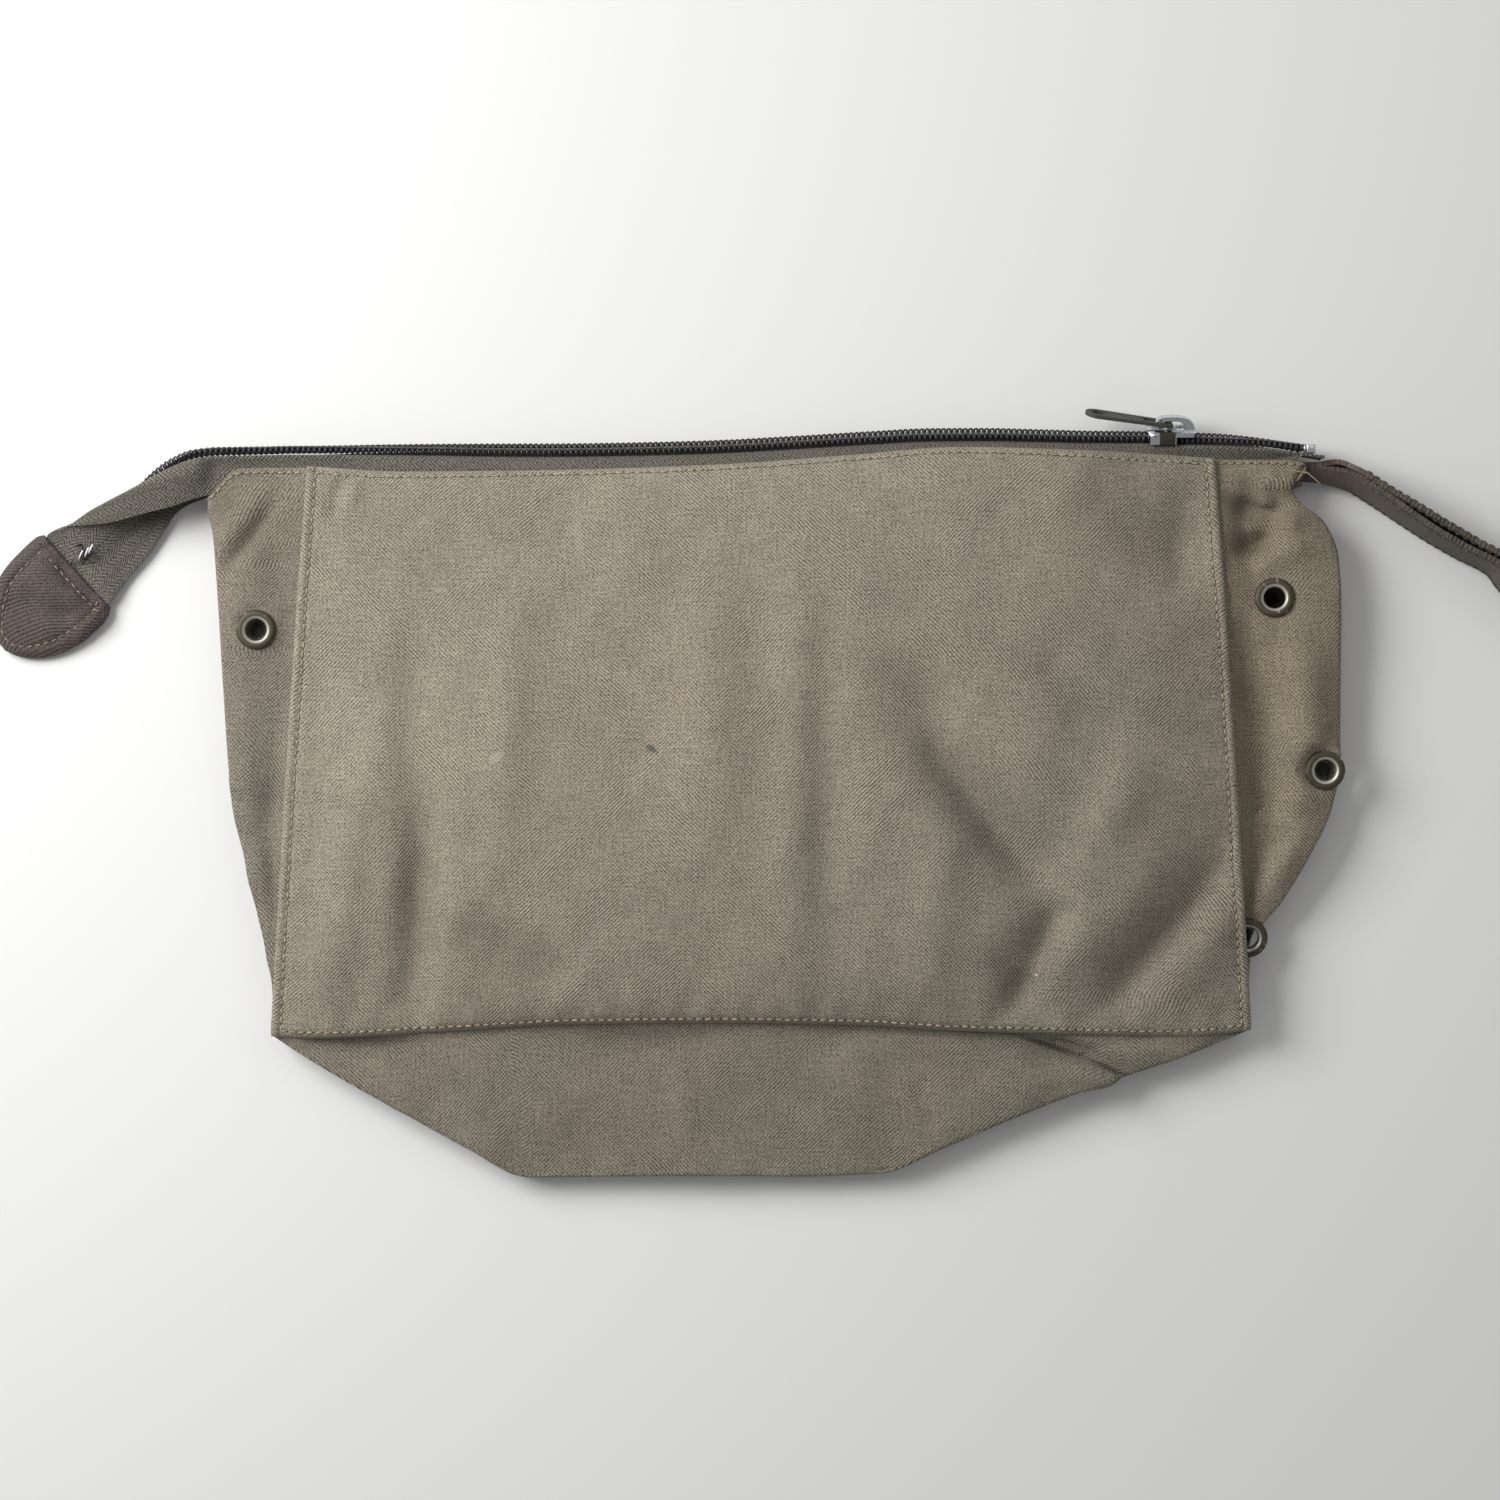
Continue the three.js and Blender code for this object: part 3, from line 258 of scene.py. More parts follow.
PANEL_CREASES = [
    ([(420, 590), (414, 700), (418, 810), (422, 900), (425, 1016)], 8, -1.7),
    ([(392, 640), (388, 800), (392, 960)], 6, 0.8),
    ([(455, 905), (510, 945), (575, 990)], 8, -1.6),
    ([(470, 840), (530, 880), (600, 930)], 9, 1.0),
    ([(830, 540), (828, 760), (832, 1010)], 7, -0.7),
    ([(800, 540), (795, 760), (790, 1000)], 7, 0.6),
    ([(890, 640), (950, 745), (1005, 830), (1055, 878), (1090, 905)], 11.5, -3.9),
    ([(1075, 880), (1040, 925), (1008, 965), (1030, 1000), (1066, 1028)], 7, -2.6),
    ([(1240, 835), (1165, 925), (1084, 1010)], 8, -3.4),
    ([(1150, 840), (1115, 900), (1052, 965)], 9, 1.6),
    ([(1235, 900), (1190, 965), (1150, 1020)], 7, 1.0),
    ([(1035, 620), (1075, 710), (1205, 770)], 8, -2.2),
    ([(1080, 455), (1140, 520), (1220, 600)], 12, -2.6),
    ([(1000, 560), (1030, 620), (1100, 690)], 10, 0.9),
    ([(348, 470), (338, 498), (332, 526)], 2.0, -1.2),
    ([(360, 474), (352, 500), (347, 522)], 2.2, 0.6),
    ([(640, 480), (700, 700), (690, 900)], 14, 0.9),
    ([(985, 1030), (1012, 985), (1018, 960)], 4.5, -1.0),
    ([(318, 600), (324, 760), (310, 980)], 4.0, -0.6),
]


def edge_relief(distance, stitch_at, ridge):
    """A turned edge: it rounds off at the rim, rises to a ridge and dips at the stitches."""
    rim = -0.5 * np.exp(-((distance / 0.4) ** 2))
    top = ridge * (1 - ease((distance - stitch_at * 0.4) / (stitch_at * 0.5)))
    groove = -0.16 * np.exp(-(((distance - stitch_at) / 0.6) ** 2))
    return rim + top + groove


def ripple(x, y, seed, wave, high):
    """Small uneven waves of the cloth, from a few crossing waves with fixed seeds."""
    rng = np.random.default_rng(seed)
    total = np.zeros(np.shape(x))
    for _ in range(9):
        turn, shift, scale = rng.uniform(0, math.pi), rng.uniform(0, 6.28), rng.uniform(0.7, 1.6)
        total += np.sin((x * math.cos(turn) + y * math.sin(turn)) * 2 * math.pi / (wave * scale) + shift)
    return high * total / 3


SIDE_STITCH, TOP_STITCH, BOTTOM_STITCH = 2.6, 1.7, 1.6


def front_dressed(across, up):
    """The front panel with its fine folds, its seam ridges and small waves."""
    point = front_surface(across, up)
    x, y = point[..., 0], point[..., 1]
    across, up = np.broadcast_arrays(np.asarray(across, float), np.asarray(up, float))
    wide = BOTTOM_WIDTH + (TOP_WIDTH - BOTTOM_WIDTH) * up
    side = np.minimum(across, 1 - across) * wide
    calm = ease(side / 14) * ease(up * HEIGHT / 10) * ease((1 - up) * HEIGHT / 10)
    extra = sum(fold_along(x, y, path, width, depth) for path, width, depth in PANEL_CREASES)
    extra = extra * ease(side / 6) * ease(up * HEIGHT / 4) * ease((1 - up) * HEIGHT / 4)
    extra += ripple(x, y, 4, 42, 0.42) * calm + ripple(x, y, 9, 16, 0.1) * calm
    pucker = np.sin(y * 2 * math.pi / 9.5 + 2 * np.sin(y / 17)) * np.exp(-(((side - 6) / 4) ** 2))
    low_way, top_way = up * HEIGHT, (1 - up) * HEIGHT
    pucker += 1.6 * np.sin(x * 2 * math.pi / 11 + 2 * np.sin(x / 23)) * np.exp(-(((low_way - 5) / 3.5) ** 2))
    pucker += np.sin(x * 2 * math.pi / 13 + 2 * np.sin(x / 19)) * np.exp(-(((top_way - 5) / 3.5) ** 2))
    extra += 0.16 * pucker
    extra += edge_relief(side, SIDE_STITCH, 0.5)
    extra += edge_relief(top_way, TOP_STITCH, 0.25)
    extra += edge_relief(low_way, BOTTOM_STITCH, 0.25) - 0.85 * np.exp(-((low_way / 0.9) ** 2))
    point = point.copy()
    point[..., 2] += extra
    return point


print("fine folds of the front panel:", len(PANEL_CREASES))

# %% [markdown]
# ## A piece of cloth from a grid
#
# A sheet of cloth is a grid primitive whose points are moved to the surface, which is how it would be shaped
# with proportional moves by hand, only exact. Solidify gives it its wall and Bevel rounds the cut edges. Its
# UV map holds real lengths along the threads, so the weave follows each fold.

# %% A piece of cloth from a grid
def finish_piece(piece, body="bag", replaced=()):
    """Rides on its body and stands for the nodes that it replaces."""
    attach(piece, body)
    if replaced:
        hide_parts(*replaced)
    print(piece.name, "faces:", len(piece.data.polygons))
    return piece


def apply_modifier(piece, kind, **settings):
    """Adds a modifier, sets it and applies it."""
    deselect()
    piece.select_set(True)
    bpy.context.view_layer.objects.active = piece
    modifier = piece.modifiers.new(kind.lower(), kind)
    for key, value in settings.items():
        setattr(modifier, key, value)
    bpy.ops.object.modifier_apply(modifier=modifier.name)


def thread_lengths(points):
    """Lengths along the rows and along the columns of a grid, as UV coordinates in metres."""
    along = np.linalg.norm(np.diff(points, axis=1), axis=2)
    up = np.linalg.norm(np.diff(points, axis=0), axis=2).mean(1)
    middle = points.shape[1] // 2
    u = np.concatenate([np.zeros((len(points), 1)), np.cumsum(along, 1)], 1)
    u = u - u[:, middle : middle + 1]
    v = np.concatenate([[0], np.cumsum(up)])
    return u * MM, np.repeat(v[:, None], points.shape[1], 1) * MM


def cloth_grid(name, points, wall, uv=None, rim=0.3, keep=None):
    """A sheet of cloth through a grid of points in millimetres. keep says which points stay."""
    rows, columns = points.shape[:2]
    deselect()
    bpy.ops.mesh.primitive_grid_add(x_subdivisions=columns - 1, y_subdivisions=rows - 1, size=1)
    piece = bpy.context.object
    piece.name = piece.data.name = name
    mesh = piece.data
    assert len(mesh.vertices) == rows * columns
    mesh.vertices.foreach_set("co", (points.reshape(-1, 3) * MM).ravel())
    u, v = thread_lengths(points) if uv is None else uv
    index = np.empty(len(mesh.loops), np.int32)
    mesh.loops.foreach_get("vertex_index", index)
    lay = np.stack([u.ravel()[index], v.ravel()[index]], 1)
    mesh.uv_layers[0].data.foreach_set("uv", lay.ravel())
    mesh.update()
    if keep is not None:
        bpy.ops.object.mode_set(mode="EDIT")
        bpy.ops.mesh.select_mode(type="VERT")
        bpy.ops.mesh.select_all(action="DESELECT")
        bpy.ops.object.mode_set(mode="OBJECT")
        mesh.vertices.foreach_set("select", ~keep.ravel())
        bpy.ops.object.mode_set(mode="EDIT")
        bpy.ops.mesh.delete(type="VERT")
        bpy.ops.object.mode_set(mode="OBJECT")
    apply_modifier(piece, "SOLIDIFY", thickness=wall * MM, offset=0)
    if rim:
        apply_modifier(
            piece, "BEVEL", width=rim * MM, segments=2, limit_method="ANGLE", angle_limit=math.radians(65)
        )
    bpy.ops.object.shade_smooth_by_angle(angle=math.radians(50))
    return piece


def places_near_edges(length, fine, coarse, edge):
    """Places from 0 to 1 along a length, close together within the edge distance of both ends."""
    rim = np.arange(0, edge, fine)
    inner = np.linspace(edge, length - edge, max(2, round((length - 2 * edge) / coarse)))
    return np.concatenate([rim, inner, length - rim[::-1]]) / length


across = places_near_edges(BOTTOM_WIDTH, 0.45, 1.6, 5)[None, :]
up = places_near_edges(HEIGHT, 0.4, 1.6, 3.5)[:, None]
front_points = front_dressed(across, up)
front_panel = cloth_grid("front_panel_cloth", front_points, PANEL_WALL)
back_points = front_surface(across[:, ::2], up[::2])
back_points[..., 2] = PANEL_WALL / 2
back_panel = cloth_grid("back_panel_cloth", back_points, PANEL_WALL)
finish_piece(front_panel, replaced=["front_panel"])
finish_piece(back_panel, replaced=["back_panel"])

# %% [markdown]
# ## The folded strip
#
# A section of the strip starts under the front panel's edge, runs out to a crease, turns back in, folds at its
# middle and comes back the same way below. Sections are drawn at a few heights and a smooth sheet runs through
# them. The same function draws the side walls and the bottom.

# %% Sections of the folded strip
def folded_section(front, back, out, crease, tuck, inward, lap, inset, dip, flat):
    """Points of one section: from the front seam out to the crease, in, and back to the back seam."""
    middle, half = (front[2] + back[2]) / 2, (front[2] - back[2]) / 2
    outer = half * (1 - flat)
    bend = outer / 3
    tucked = min(1, max(0, tuck / (3 * bend)))
    start = min(-inset, crease - bend - GAP)
    points = [(start - lap, 0, half), (start, 0, half)]
    for share, part in [(0.3, -1), (0.72, 0.35)]:
        points.append((start + (crease - bend - start) * share, 0, half + (outer - half) * share + part * dip))
    folded = []
    for angle in [90, 45, 0, -45, -90]:
        turn = math.radians(angle)
        away = bend * (1 - math.cos(turn))
        folded.append((crease - (away if angle > 0 else 0), 0 if angle > 0 else away,
                       outer - bend + bend * math.sin(turn)))
    folded.append((crease, tuck / 2, bend))
    for angle in [90, 45, 0]:
        turn = math.radians(angle)
        folded.append((crease, tuck - bend * (1 - math.cos(turn)), bend * math.sin(turn)))
    for i, point in enumerate(folded):
        turn = math.pi / 2 * (1 - i / (len(folded) - 1))
        nose = (crease - bend * (1 - math.cos(turn)), 0, outer * math.sin(turn))
        points.append(tuple(n + (p - n) * tucked for n, p in zip(nose, point)))
    points += [(d, q, -h) for d, q, h in points[-2::-1]]
    section = []
    for distance, inward_by, high in points:
        share = min(1, max(0, (high / half + 1) / 2))
        seam = back + (front - back) * share
        seam[2] = middle + high
        section.append(seam + out * distance + inward * inward_by)
    return np.array(section)


def seam_points(across, up, sink=0.0):
    under = PANEL_WALL / 2 + GAP + STRIP_WALL / 2
    front = front_surface(across, up).copy()
    back = front.copy()
    front[2] -= under + sink
    back[2] = PANEL_WALL / 2 + under
    return front, back


def side_section(side, up):
    rows = left_wall if side < 0 else right_wall
    fold = LEFT_FOLD if side < 0 else RIGHT_FOLD
    read = lambda column: float(smooth(rows["at"], rows[column], up))
    above = up * HEIGHT
    front, back = seam_points(0.0 if side < 0 else 1.0, up, read("sink") * HALF_DEPTH)
    lift = max(0, 1.9 - above)
    front[1] += lift
    back[1] += lift
    crease = read("crease") * HALF_DEPTH
    half = (DEPTH + (MOUTH_DEPTH - DEPTH) * up) / 2
    turn_up = (math.pi / 2 - 2 * fold) * (1 - float(ease(up / 0.7)))
    section = folded_section(
        front, back, np.array([side, 0, 0.0]), crease, max(0, half - crease),
        np.array([-side * math.cos(turn_up), math.sin(turn_up), 0]),
        min(SEAM_LAP, max(GAP, above - 0.5)), read("inset") * HALF_DEPTH, read("dip") * FULLNESS, read("flat"),
    )
    away = side * (section[:, 0] - front[0])
    fade = float(ease((up - 0.86) / 0.14))
    layer = np.ones(len(section)) if side < 0 else np.clip((np.arange(len(section)) - 5) / 3, 0.12, 1)
    section[:, 1] -= CORNER_CUT * HEIGHT * fade * layer * np.clip((away - 0.55 * half) / (0.28 * half), 0, 1)
    return section


def soft_low(a, b, blend):
    near = min(1, max(0, 0.5 + (b - a) / (2 * blend)))
    return b + (a - b) * near - blend * near * (1 - near)


DRAW, DRAW_LONG, BOTTOM_CREASE = 3, 110, 2


def bottom_section(across):
    front, back = seam_points(across, 0.0)
    left_way, right_way = across * BOTTOM_WIDTH, (1 - across) * BOTTOM_WIDTH
    front[0] += max(0, 0.4 - left_way) - max(0, 0.4 - right_way)
    back[0] = front[0]
    left = left_way < right_way
    fold, way = (LEFT_FOLD, left_way) if left else (RIGHT_FOLD, right_way)
    drawn = 0 if left else DRAW * math.sin(math.pi * min(1, way / DRAW_LONG))
    crease = max(0.006 * HALF_DEPTH, soft_low(way * math.tan(fold) - drawn, HALF_DEPTH, 3))
    return folded_section(
        front, back, np.array([0, -1.0, 0]), crease, max(0, HALF_DEPTH - crease),
        np.array([(1 if left else -1) * math.sin(2 * fold), math.cos(2 * fold), 0]),
        min(SEAM_LAP, max(GAP, way - 0.6)), 0, BOTTOM_CREASE * max(0, 1 - abs(across - 0.81) / 0.08),
        0.5 + (0.14 - 0.5) * float(ease((HALF_DEPTH - crease - 1) / 12)),
    )


def finer(places, step):
    """Places between the given ones, at most a step apart."""
    parts = [np.linspace(a, b, max(2, math.ceil((b - a) / step)), endpoint=False)
             for a, b in zip(places[:-1], places[1:])]
    return np.concatenate(parts + [[places[-1]]])


def smooth_grid(points, step_across, step_up):
    """A finer grid on a smooth sheet through a coarse one."""
    for step, axis in [(step_across, 1), (step_up, 0)]:
        sizes = np.linalg.norm(np.diff(points, axis=axis), axis=2).mean(1 - axis)
        place = np.concatenate([[0], np.cumsum(sizes)])
        moved = smooth(place, np.moveaxis(points, axis, 0), finer(place, step))
        points = np.moveaxis(moved, 0, axis)
    return points


def grid_normals(points):
    along = np.gradient(points, axis=1)
    up = np.gradient(points, axis=0)
    normal = np.cross(along, up)
    return normal / np.maximum(np.linalg.norm(normal, axis=2, keepdims=True), 1e-9)


left_grid = smooth_grid(np.array([side_section(-1, up) for up in LEVELS]), 1.3, 1.3)
right_grid = smooth_grid(np.array([side_section(1, up) for up in LEVELS]), 1.3, 1.3)
bottom_grid = smooth_grid(np.array([bottom_section(a) for a in STATIONS]), 1.3, 1.6)
print("grids:", left_grid.shape, right_grid.shape, bottom_grid.shape)

# %% [markdown]
# ## Side walls and bottom
#
# Each wall gets its own creases where the photo shows them: gathers at the top of the right wall, where the cloth
# is drawn together under the loop, and a slanting crease at the top of the left one. The front layer alone takes
# them. The eyelets need holes, so points near an eyelet's axis are left out. An eyelet's place and tilt are read
# from its node in the frame.

# %% Side walls and bottom
WALL_CREASES = {
    "left": [
        ([(278, 498), (250, 540), (220, 576)], 2.4, -2.2),
        ([(262, 496), (238, 526), (216, 552)], 3.0, 1.2),
        ([(272, 560), (252, 590), (236, 640)], 5.0, 0.9),
        ([(296, 560), (288, 700), (280, 820)], 3.0, -1.3),
        ([(268, 470), (262, 500), (258, 540)], 3.0, 0.5),
        ([(236, 700), (244, 820), (262, 940)], 4.0, 0.8),
    ],
    "right": [
        ([(1232, 500), (1262, 514), (1294, 502)], 3.0, -3.8),
        ([(1230, 548), (1256, 544), (1286, 512)], 3.4, -4.4),
        ([(1243, 524), (1272, 528), (1302, 520)], 3.0, 2.6),
        ([(1250, 572), (1280, 556), (1308, 540)], 4.0, 2.2),
        ([(1238, 600), (1243, 720), (1249, 850)], 3.6, -1.5),
        ([(1284, 640), (1302, 700), (1312, 770)], 7, 1.8),
        ([(1258, 476), (1282, 484), (1302, 476)], 2.6, 1.6),
        ([(1238, 476), (1262, 494), (1290, 496)], 2.2, -1.6),
        ([(1262, 850), (1290, 830), (1318, 800)], 3.6, -1.4),
        ([(1258, 590), (1262, 640), (1268, 700)], 3.0, 0.8),
    ],
    "bottom": [
        ([(960, 1030), (1010, 1036), (1062, 1046), (1110, 1066), (1150, 1082)], 2.2, -1.8),
        ([(1000, 1048), (1050, 1060), (1110, 1082), (1140, 1094)], 3.6, 1.6),
        ([(1060, 1034), (1120, 1048), (1180, 1052)], 3.2, 1.2),
        ([(296, 1041), (350, 1043), (436, 1041)], 2.4, -1.8),
        ([(540, 1031), (640, 1036), (740, 1034)], 2.4, -1.3),
        ([(820, 1028), (900, 1030), (980, 1032)], 2.4, -1.5),
        ([(916, 1080), (926, 1110), (934, 1142)], 3, -0.9),
        ([(680, 1040), (684, 1100), (690, 1150)], 4, 0.8),
        ([(420, 1050), (520, 1110), (560, 1150)], 8, 0.9),
    ],
}


def crease_wall(points, creases, seed):
    """Moves the upper layer of a wall along its own normal by its creases and small waves."""
    normal = grid_normals(points)
    normal = normal * np.where(normal[..., 2:3] < 0, -1, 1)
    facing = ease((normal[..., 2] - 0.35) / 0.4)
    columns = points.shape[1]
    front_part = np.arange(columns) < columns * 0.34
    x, y = points[..., 0], points[..., 1]
    extra = sum(fold_along(x, y, path, width, depth) for path, width, depth in creases)
    extra += ripple(x, y, seed, 32, 0.42) + ripple(x, y, seed + 1, 12, 0.1)
    rim = ease(np.arange(columns) / 6)
    return points + normal * (extra * facing * front_part * rim)[..., None]


def eyelet_place(node):
    """The middle and the axis of an eyelet, from its node's points."""
    points = np.array([v.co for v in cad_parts[node].data.vertices]) / MM
    points = np.unique(points.round(3), axis=0)
    middle = (points.min(0) + points.max(0)) / 2
    axis = np.linalg.svd(points - points.mean(0))[2][2]
    return middle, axis * np.sign(axis[2])


EYELETS = ["eyelet_left_top", "eyelet_right_top", "eyelet_right_middle", "eyelet_right_low"]
eyelet_spots = {node: eyelet_place(node) for node in EYELETS}


def seat_eyelets(points, side):
    """Levels the cloth under each eyelet's flange and marks the points that its barrel takes away."""
    keep = np.ones(points.shape[:2], bool)
    upper = np.arange(points.shape[1]) < points.shape[1] * 0.34
    for node, (middle, axis) in eyelet_spots.items():
        if side not in node:
            continue
        away = points - middle
        high = away @ axis
        flat = np.linalg.norm(away - high[..., None] * axis, axis=2)
        near = upper & (np.abs(high) < 7)
        level = (1 - ease((flat - 5.6) / 4)) * near
        points = points - (level * (high + 0.35))[..., None] * axis
        keep &= ~(near & (flat < 4.3))
    return points, keep


left_points, left_keep = seat_eyelets(crease_wall(left_grid, WALL_CREASES["left"], 21), "left")
right_points, right_keep = seat_eyelets(crease_wall(right_grid, WALL_CREASES["right"], 31), "right")
bottom_points = crease_wall(bottom_grid, WALL_CREASES["bottom"], 41)
left_gusset = cloth_grid("side_wall_left", left_points, STRIP_WALL, keep=left_keep)
right_gusset = cloth_grid("side_wall_right", right_points, STRIP_WALL, keep=right_keep)
bottom_panel = cloth_grid("bottom_panel_cloth", bottom_points, STRIP_WALL)
finish_piece(left_gusset, replaced=["gusset_left"])
finish_piece(right_gusset, replaced=["gusset_right"])
finish_piece(bottom_panel, replaced=["bottom_panel"])

# %% [markdown]
# ## The zip's line
#
# The coil runs along the mouth, turns its face a little to the front, and leaves the bag at the left as a free
# curled end. At each place three directions are needed: along the zip, out of its face, and to the front half of
# the tape. Tape, coil and slider are all set out from them.

# %% The zip's line
TAPE_HALF, TAPE_WALL, TAPE_TUCK = 15, 0.8, 8
COIL_WIDE, COIL_THICK, COIL_SPLIT, NECK_SPLIT, MOUTH_SPLIT = 2.8, 2.4, 0.2, 0.9, 1.4
ZIP_TAIL, ZIP_HEAD, SLIDER_AT, SLIDER_LONG = 52, 34, 126, 14.6
TAIL_SPARE, TAIL_COIL_ROWS = 0.4, 6
zip_line = table(["at", "rise", "lean"], [
    [-0.1, 0.03, 0], [0, 0.034, 5], [0.1, 0.044, 16], [0.25, 0.041, 28], [0.45, 0.037, 28], [0.6, 0.034, 28],
    [0.72, 0.028, 28], [0.85, 0.029, 24], [0.95, 0.036, 20], [1, 0.038, 16], [1.055, 0.032, 8], [1.12, 0.016, 0],
])
tail_columns = ["ahead", "drop", "high", "turn", "climb", "front_turn", "front_reach", "front_high", "crest",
                "back_turn", "back_reach", "back_high"]
tail_rows = [dict(zip(tail_columns, row)) for row in [
    [0.14, 0.016, 0.15, 100, 88, 270, 0.93, 0.74, 0.1, 268, 0.95, 0.16],
    [0.27, 0.075, 0.135, 110, 80, 274, 0.87, 0.78, 0.16, 272, 0.97, 0.16],
    [0.4, 0.185, 0.108, 120, 58, 262, 0.64, 0.76, 0.28, 284, 0.98, 0.15],
    [0.53, 0.335, 0.077, 122, 42, 214, 0.56, 0.64, 0.36, 292, 0.98, 0.13],
    [0.67, 0.49, 0.054, 125, 24, 166, 0.7, 0.5, 0.3, 294, 0.98, 0.13],
    [0.79, 0.63, 0.036, 132, 5, 146, 0.93, 0.28, 0.14, 301, 0.98, 0.2],
    [0.85, 0.71, 0.016, 136, 0, 137, 0.92, 0.18, 0.02, 313, 0.92, 0.18],
    [0.96, 0.84, 0.01, 136, 0, 137, 0.88, 0.16, 0, 316, 0.88, 0.16],
]]
ZIP_FROM_EDGE = COIL_THICK / 2 + GAP + TAPE_WALL / 2
HEAD_END = (TOP_WIDTH / 2 + ZIP_HEAD) / TOP_WIDTH + 0.5
TAIL_START = -28.5 / TOP_WIDTH
MOUTH_ACROSS = [TAIL_START, -0.075, -0.05, -0.02, *STATIONS[1:-3], 0.9, 0.925, 0.945, 0.965, 0.985,
                1.01, 1.035, 1.06, 1.08, 1.1, HEAD_END]


def zip_at(across):
    hem = front_surface(min(1.0, max(0.0, across)), 1.0)
    lean = math.radians(float(smooth(zip_line["at"], zip_line["lean"], across)))
    rise = float(smooth(zip_line["at"], zip_line["rise"], across))
    coil = np.array([-TOP_WIDTH / 2 + TOP_WIDTH * across, hem[1] + HEIGHT * rise,
                     (hem[2] + PANEL_WALL / 2) / 2 + 1.2])
    face = np.array([0, math.cos(lean), math.sin(lean)])
    front = np.array([0, -math.sin(lean), math.cos(lean)])
    return hem, coil, face, front


def split_at(x):
    before, after = SLIDER_AT - SLIDER_LONG / 2, SLIDER_AT + SLIDER_LONG / 2
    inside = COIL_SPLIT + (NECK_SPLIT - COIL_SPLIT) * float(ease((x - before) / (SLIDER_LONG * 0.6)))
    return inside + (MOUTH_SPLIT - inside) * float(ease((x - after) / 14))


def mix(a, b, share):
    return a + (b - a) * share


def mouth_tape(across, half):
    hem, coil, face, front = zip_at(across)
    split = split_at(coil[0]) + 0.1
    inner = coil - face * ZIP_FROM_EDGE
    first = inner + front * half * split
    second = inner + front * half * (split + COIL_WIDE + 0.3)
    past = max(-across, across - 1)
    corner = float(ease((past + 0.08) / 0.05))
    under = (PANEL_WALL + TAPE_WALL) / 2 + GAP + corner * (STRIP_WALL + GAP)
    slope = min(1, max(0, past / 0.06)) * 0.7
    outside = hem[2] - under - slope if half > 0 else PANEL_WALL / 2 + under + slope
    tucked_by = TAPE_TUCK * (1 - float(ease((across - 1.06) / 0.035))) - 3.2 * float(ease((across - 1.08) / 0.02))
    gather = float(ease((across - 1.07) / 0.03))
    low = mix(hem[1] - tucked_by, second[1] - 0.4, gather)
    high = mix(outside, second[2], gather)
    third = np.array([coil[0], mix(second[1], low, 0.3), mix(second[2], high, 0.95)])
    fourth = np.array([coil[0], mix(second[1], low, 0.65), high])
    return [first, second, third, fourth, np.array([coil[0], low, high])]


def tail_at(i):
    leave = zip_at(TAIL_START)[1]
    place = lambda row: np.array([leave[0] - row["ahead"] * ZIP_TAIL, leave[1] - row["drop"] * ZIP_TAIL,
                                  row["high"] * ZIP_TAIL])
    coil = place(tail_rows[i])
    last = len(tail_rows) - 1
    onward = place(tail_rows[i + 1]) - coil if i < last else coil - place(tail_rows[last - 1])
    turn, climb = math.radians(tail_rows[i]["turn"]), math.radians(tail_rows[i]["climb"])
    front = np.array([math.cos(turn) * math.cos(climb), math.sin(turn) * math.cos(climb), math.sin(climb)])
    face = np.cross(onward / np.linalg.norm(onward), front)
    return coil, face / np.linalg.norm(face), front


def tail_tape(i, half):
    row = tail_rows[i]
    coil, face, front = tail_at(i)
    inner = coil - face * (ZIP_FROM_EDGE + TAIL_SPARE)
    first = inner + front * half * 0.06
    second = inner + front * half * (COIL_SPLIT + 0.1 + COIL_WIDE + 1.2)
    side = "front" if half > 0 else "back"
    turn, reach = math.radians(row[side + "_turn"]), TAPE_HALF * row[side + "_reach"]
    edge = np.array([coil[0] + math.cos(turn) * reach, coil[1] + math.sin(turn) * reach,
                     TAPE_HALF * row[side + "_high"]])
    crest = TAPE_HALF * row["crest"] if half > 0 else 0
    third = mix(second, edge, 0.33) + front * crest * 0.8
    fourth = mix(second, edge, 0.68) + front * crest * 0.4
    return [first, second, third, fourth, edge]


for side, half in [("front", 1), ("back", -1)]:
    rows = [tail_tape(i, half) for i in range(len(tail_rows))][::-1]
    rows += [mouth_tape(across, half) for across in MOUTH_ACROSS]
    points = smooth_grid(np.array(rows), 0.8, 1.4)
    tape = cloth_grid("zip_tape_" + side + "_cloth", points, TAPE_WALL, rim=0.2)
    finish_piece(tape, replaced=["zip_tape_" + side])
    if half > 0:
        front_tape, front_tape_points = tape, points
    else:
        back_tape, back_tape_points = tape, points

# %% [markdown]
# ## The coil
#
# A nylon zip's teeth are one thick thread wound into flattened turns, and a row of sewing thread holds every turn
# to the tape. One turn is modelled from a torus: flattened, leaned over, and copied along the line at its real
# pitch of 1.67 mm. The thread is a small bead between two turns.

# %% The coil
COIL_PITCH, COIL_THREAD = 1.67, 0.42


def model_once(build):
    """Runs a function that adds a small object, and returns its points and faces, without the object."""
    deselect()
    build()
    made = bpy.context.object
    bpy.ops.object.transform_apply(location=True, rotation=True, scale=True)
    points = np.array([v.co for v in made.data.vertices])
    faces = [tuple(p.vertices) for p in made.data.polygons]
    bpy.data.objects.remove(made)
    return points, faces


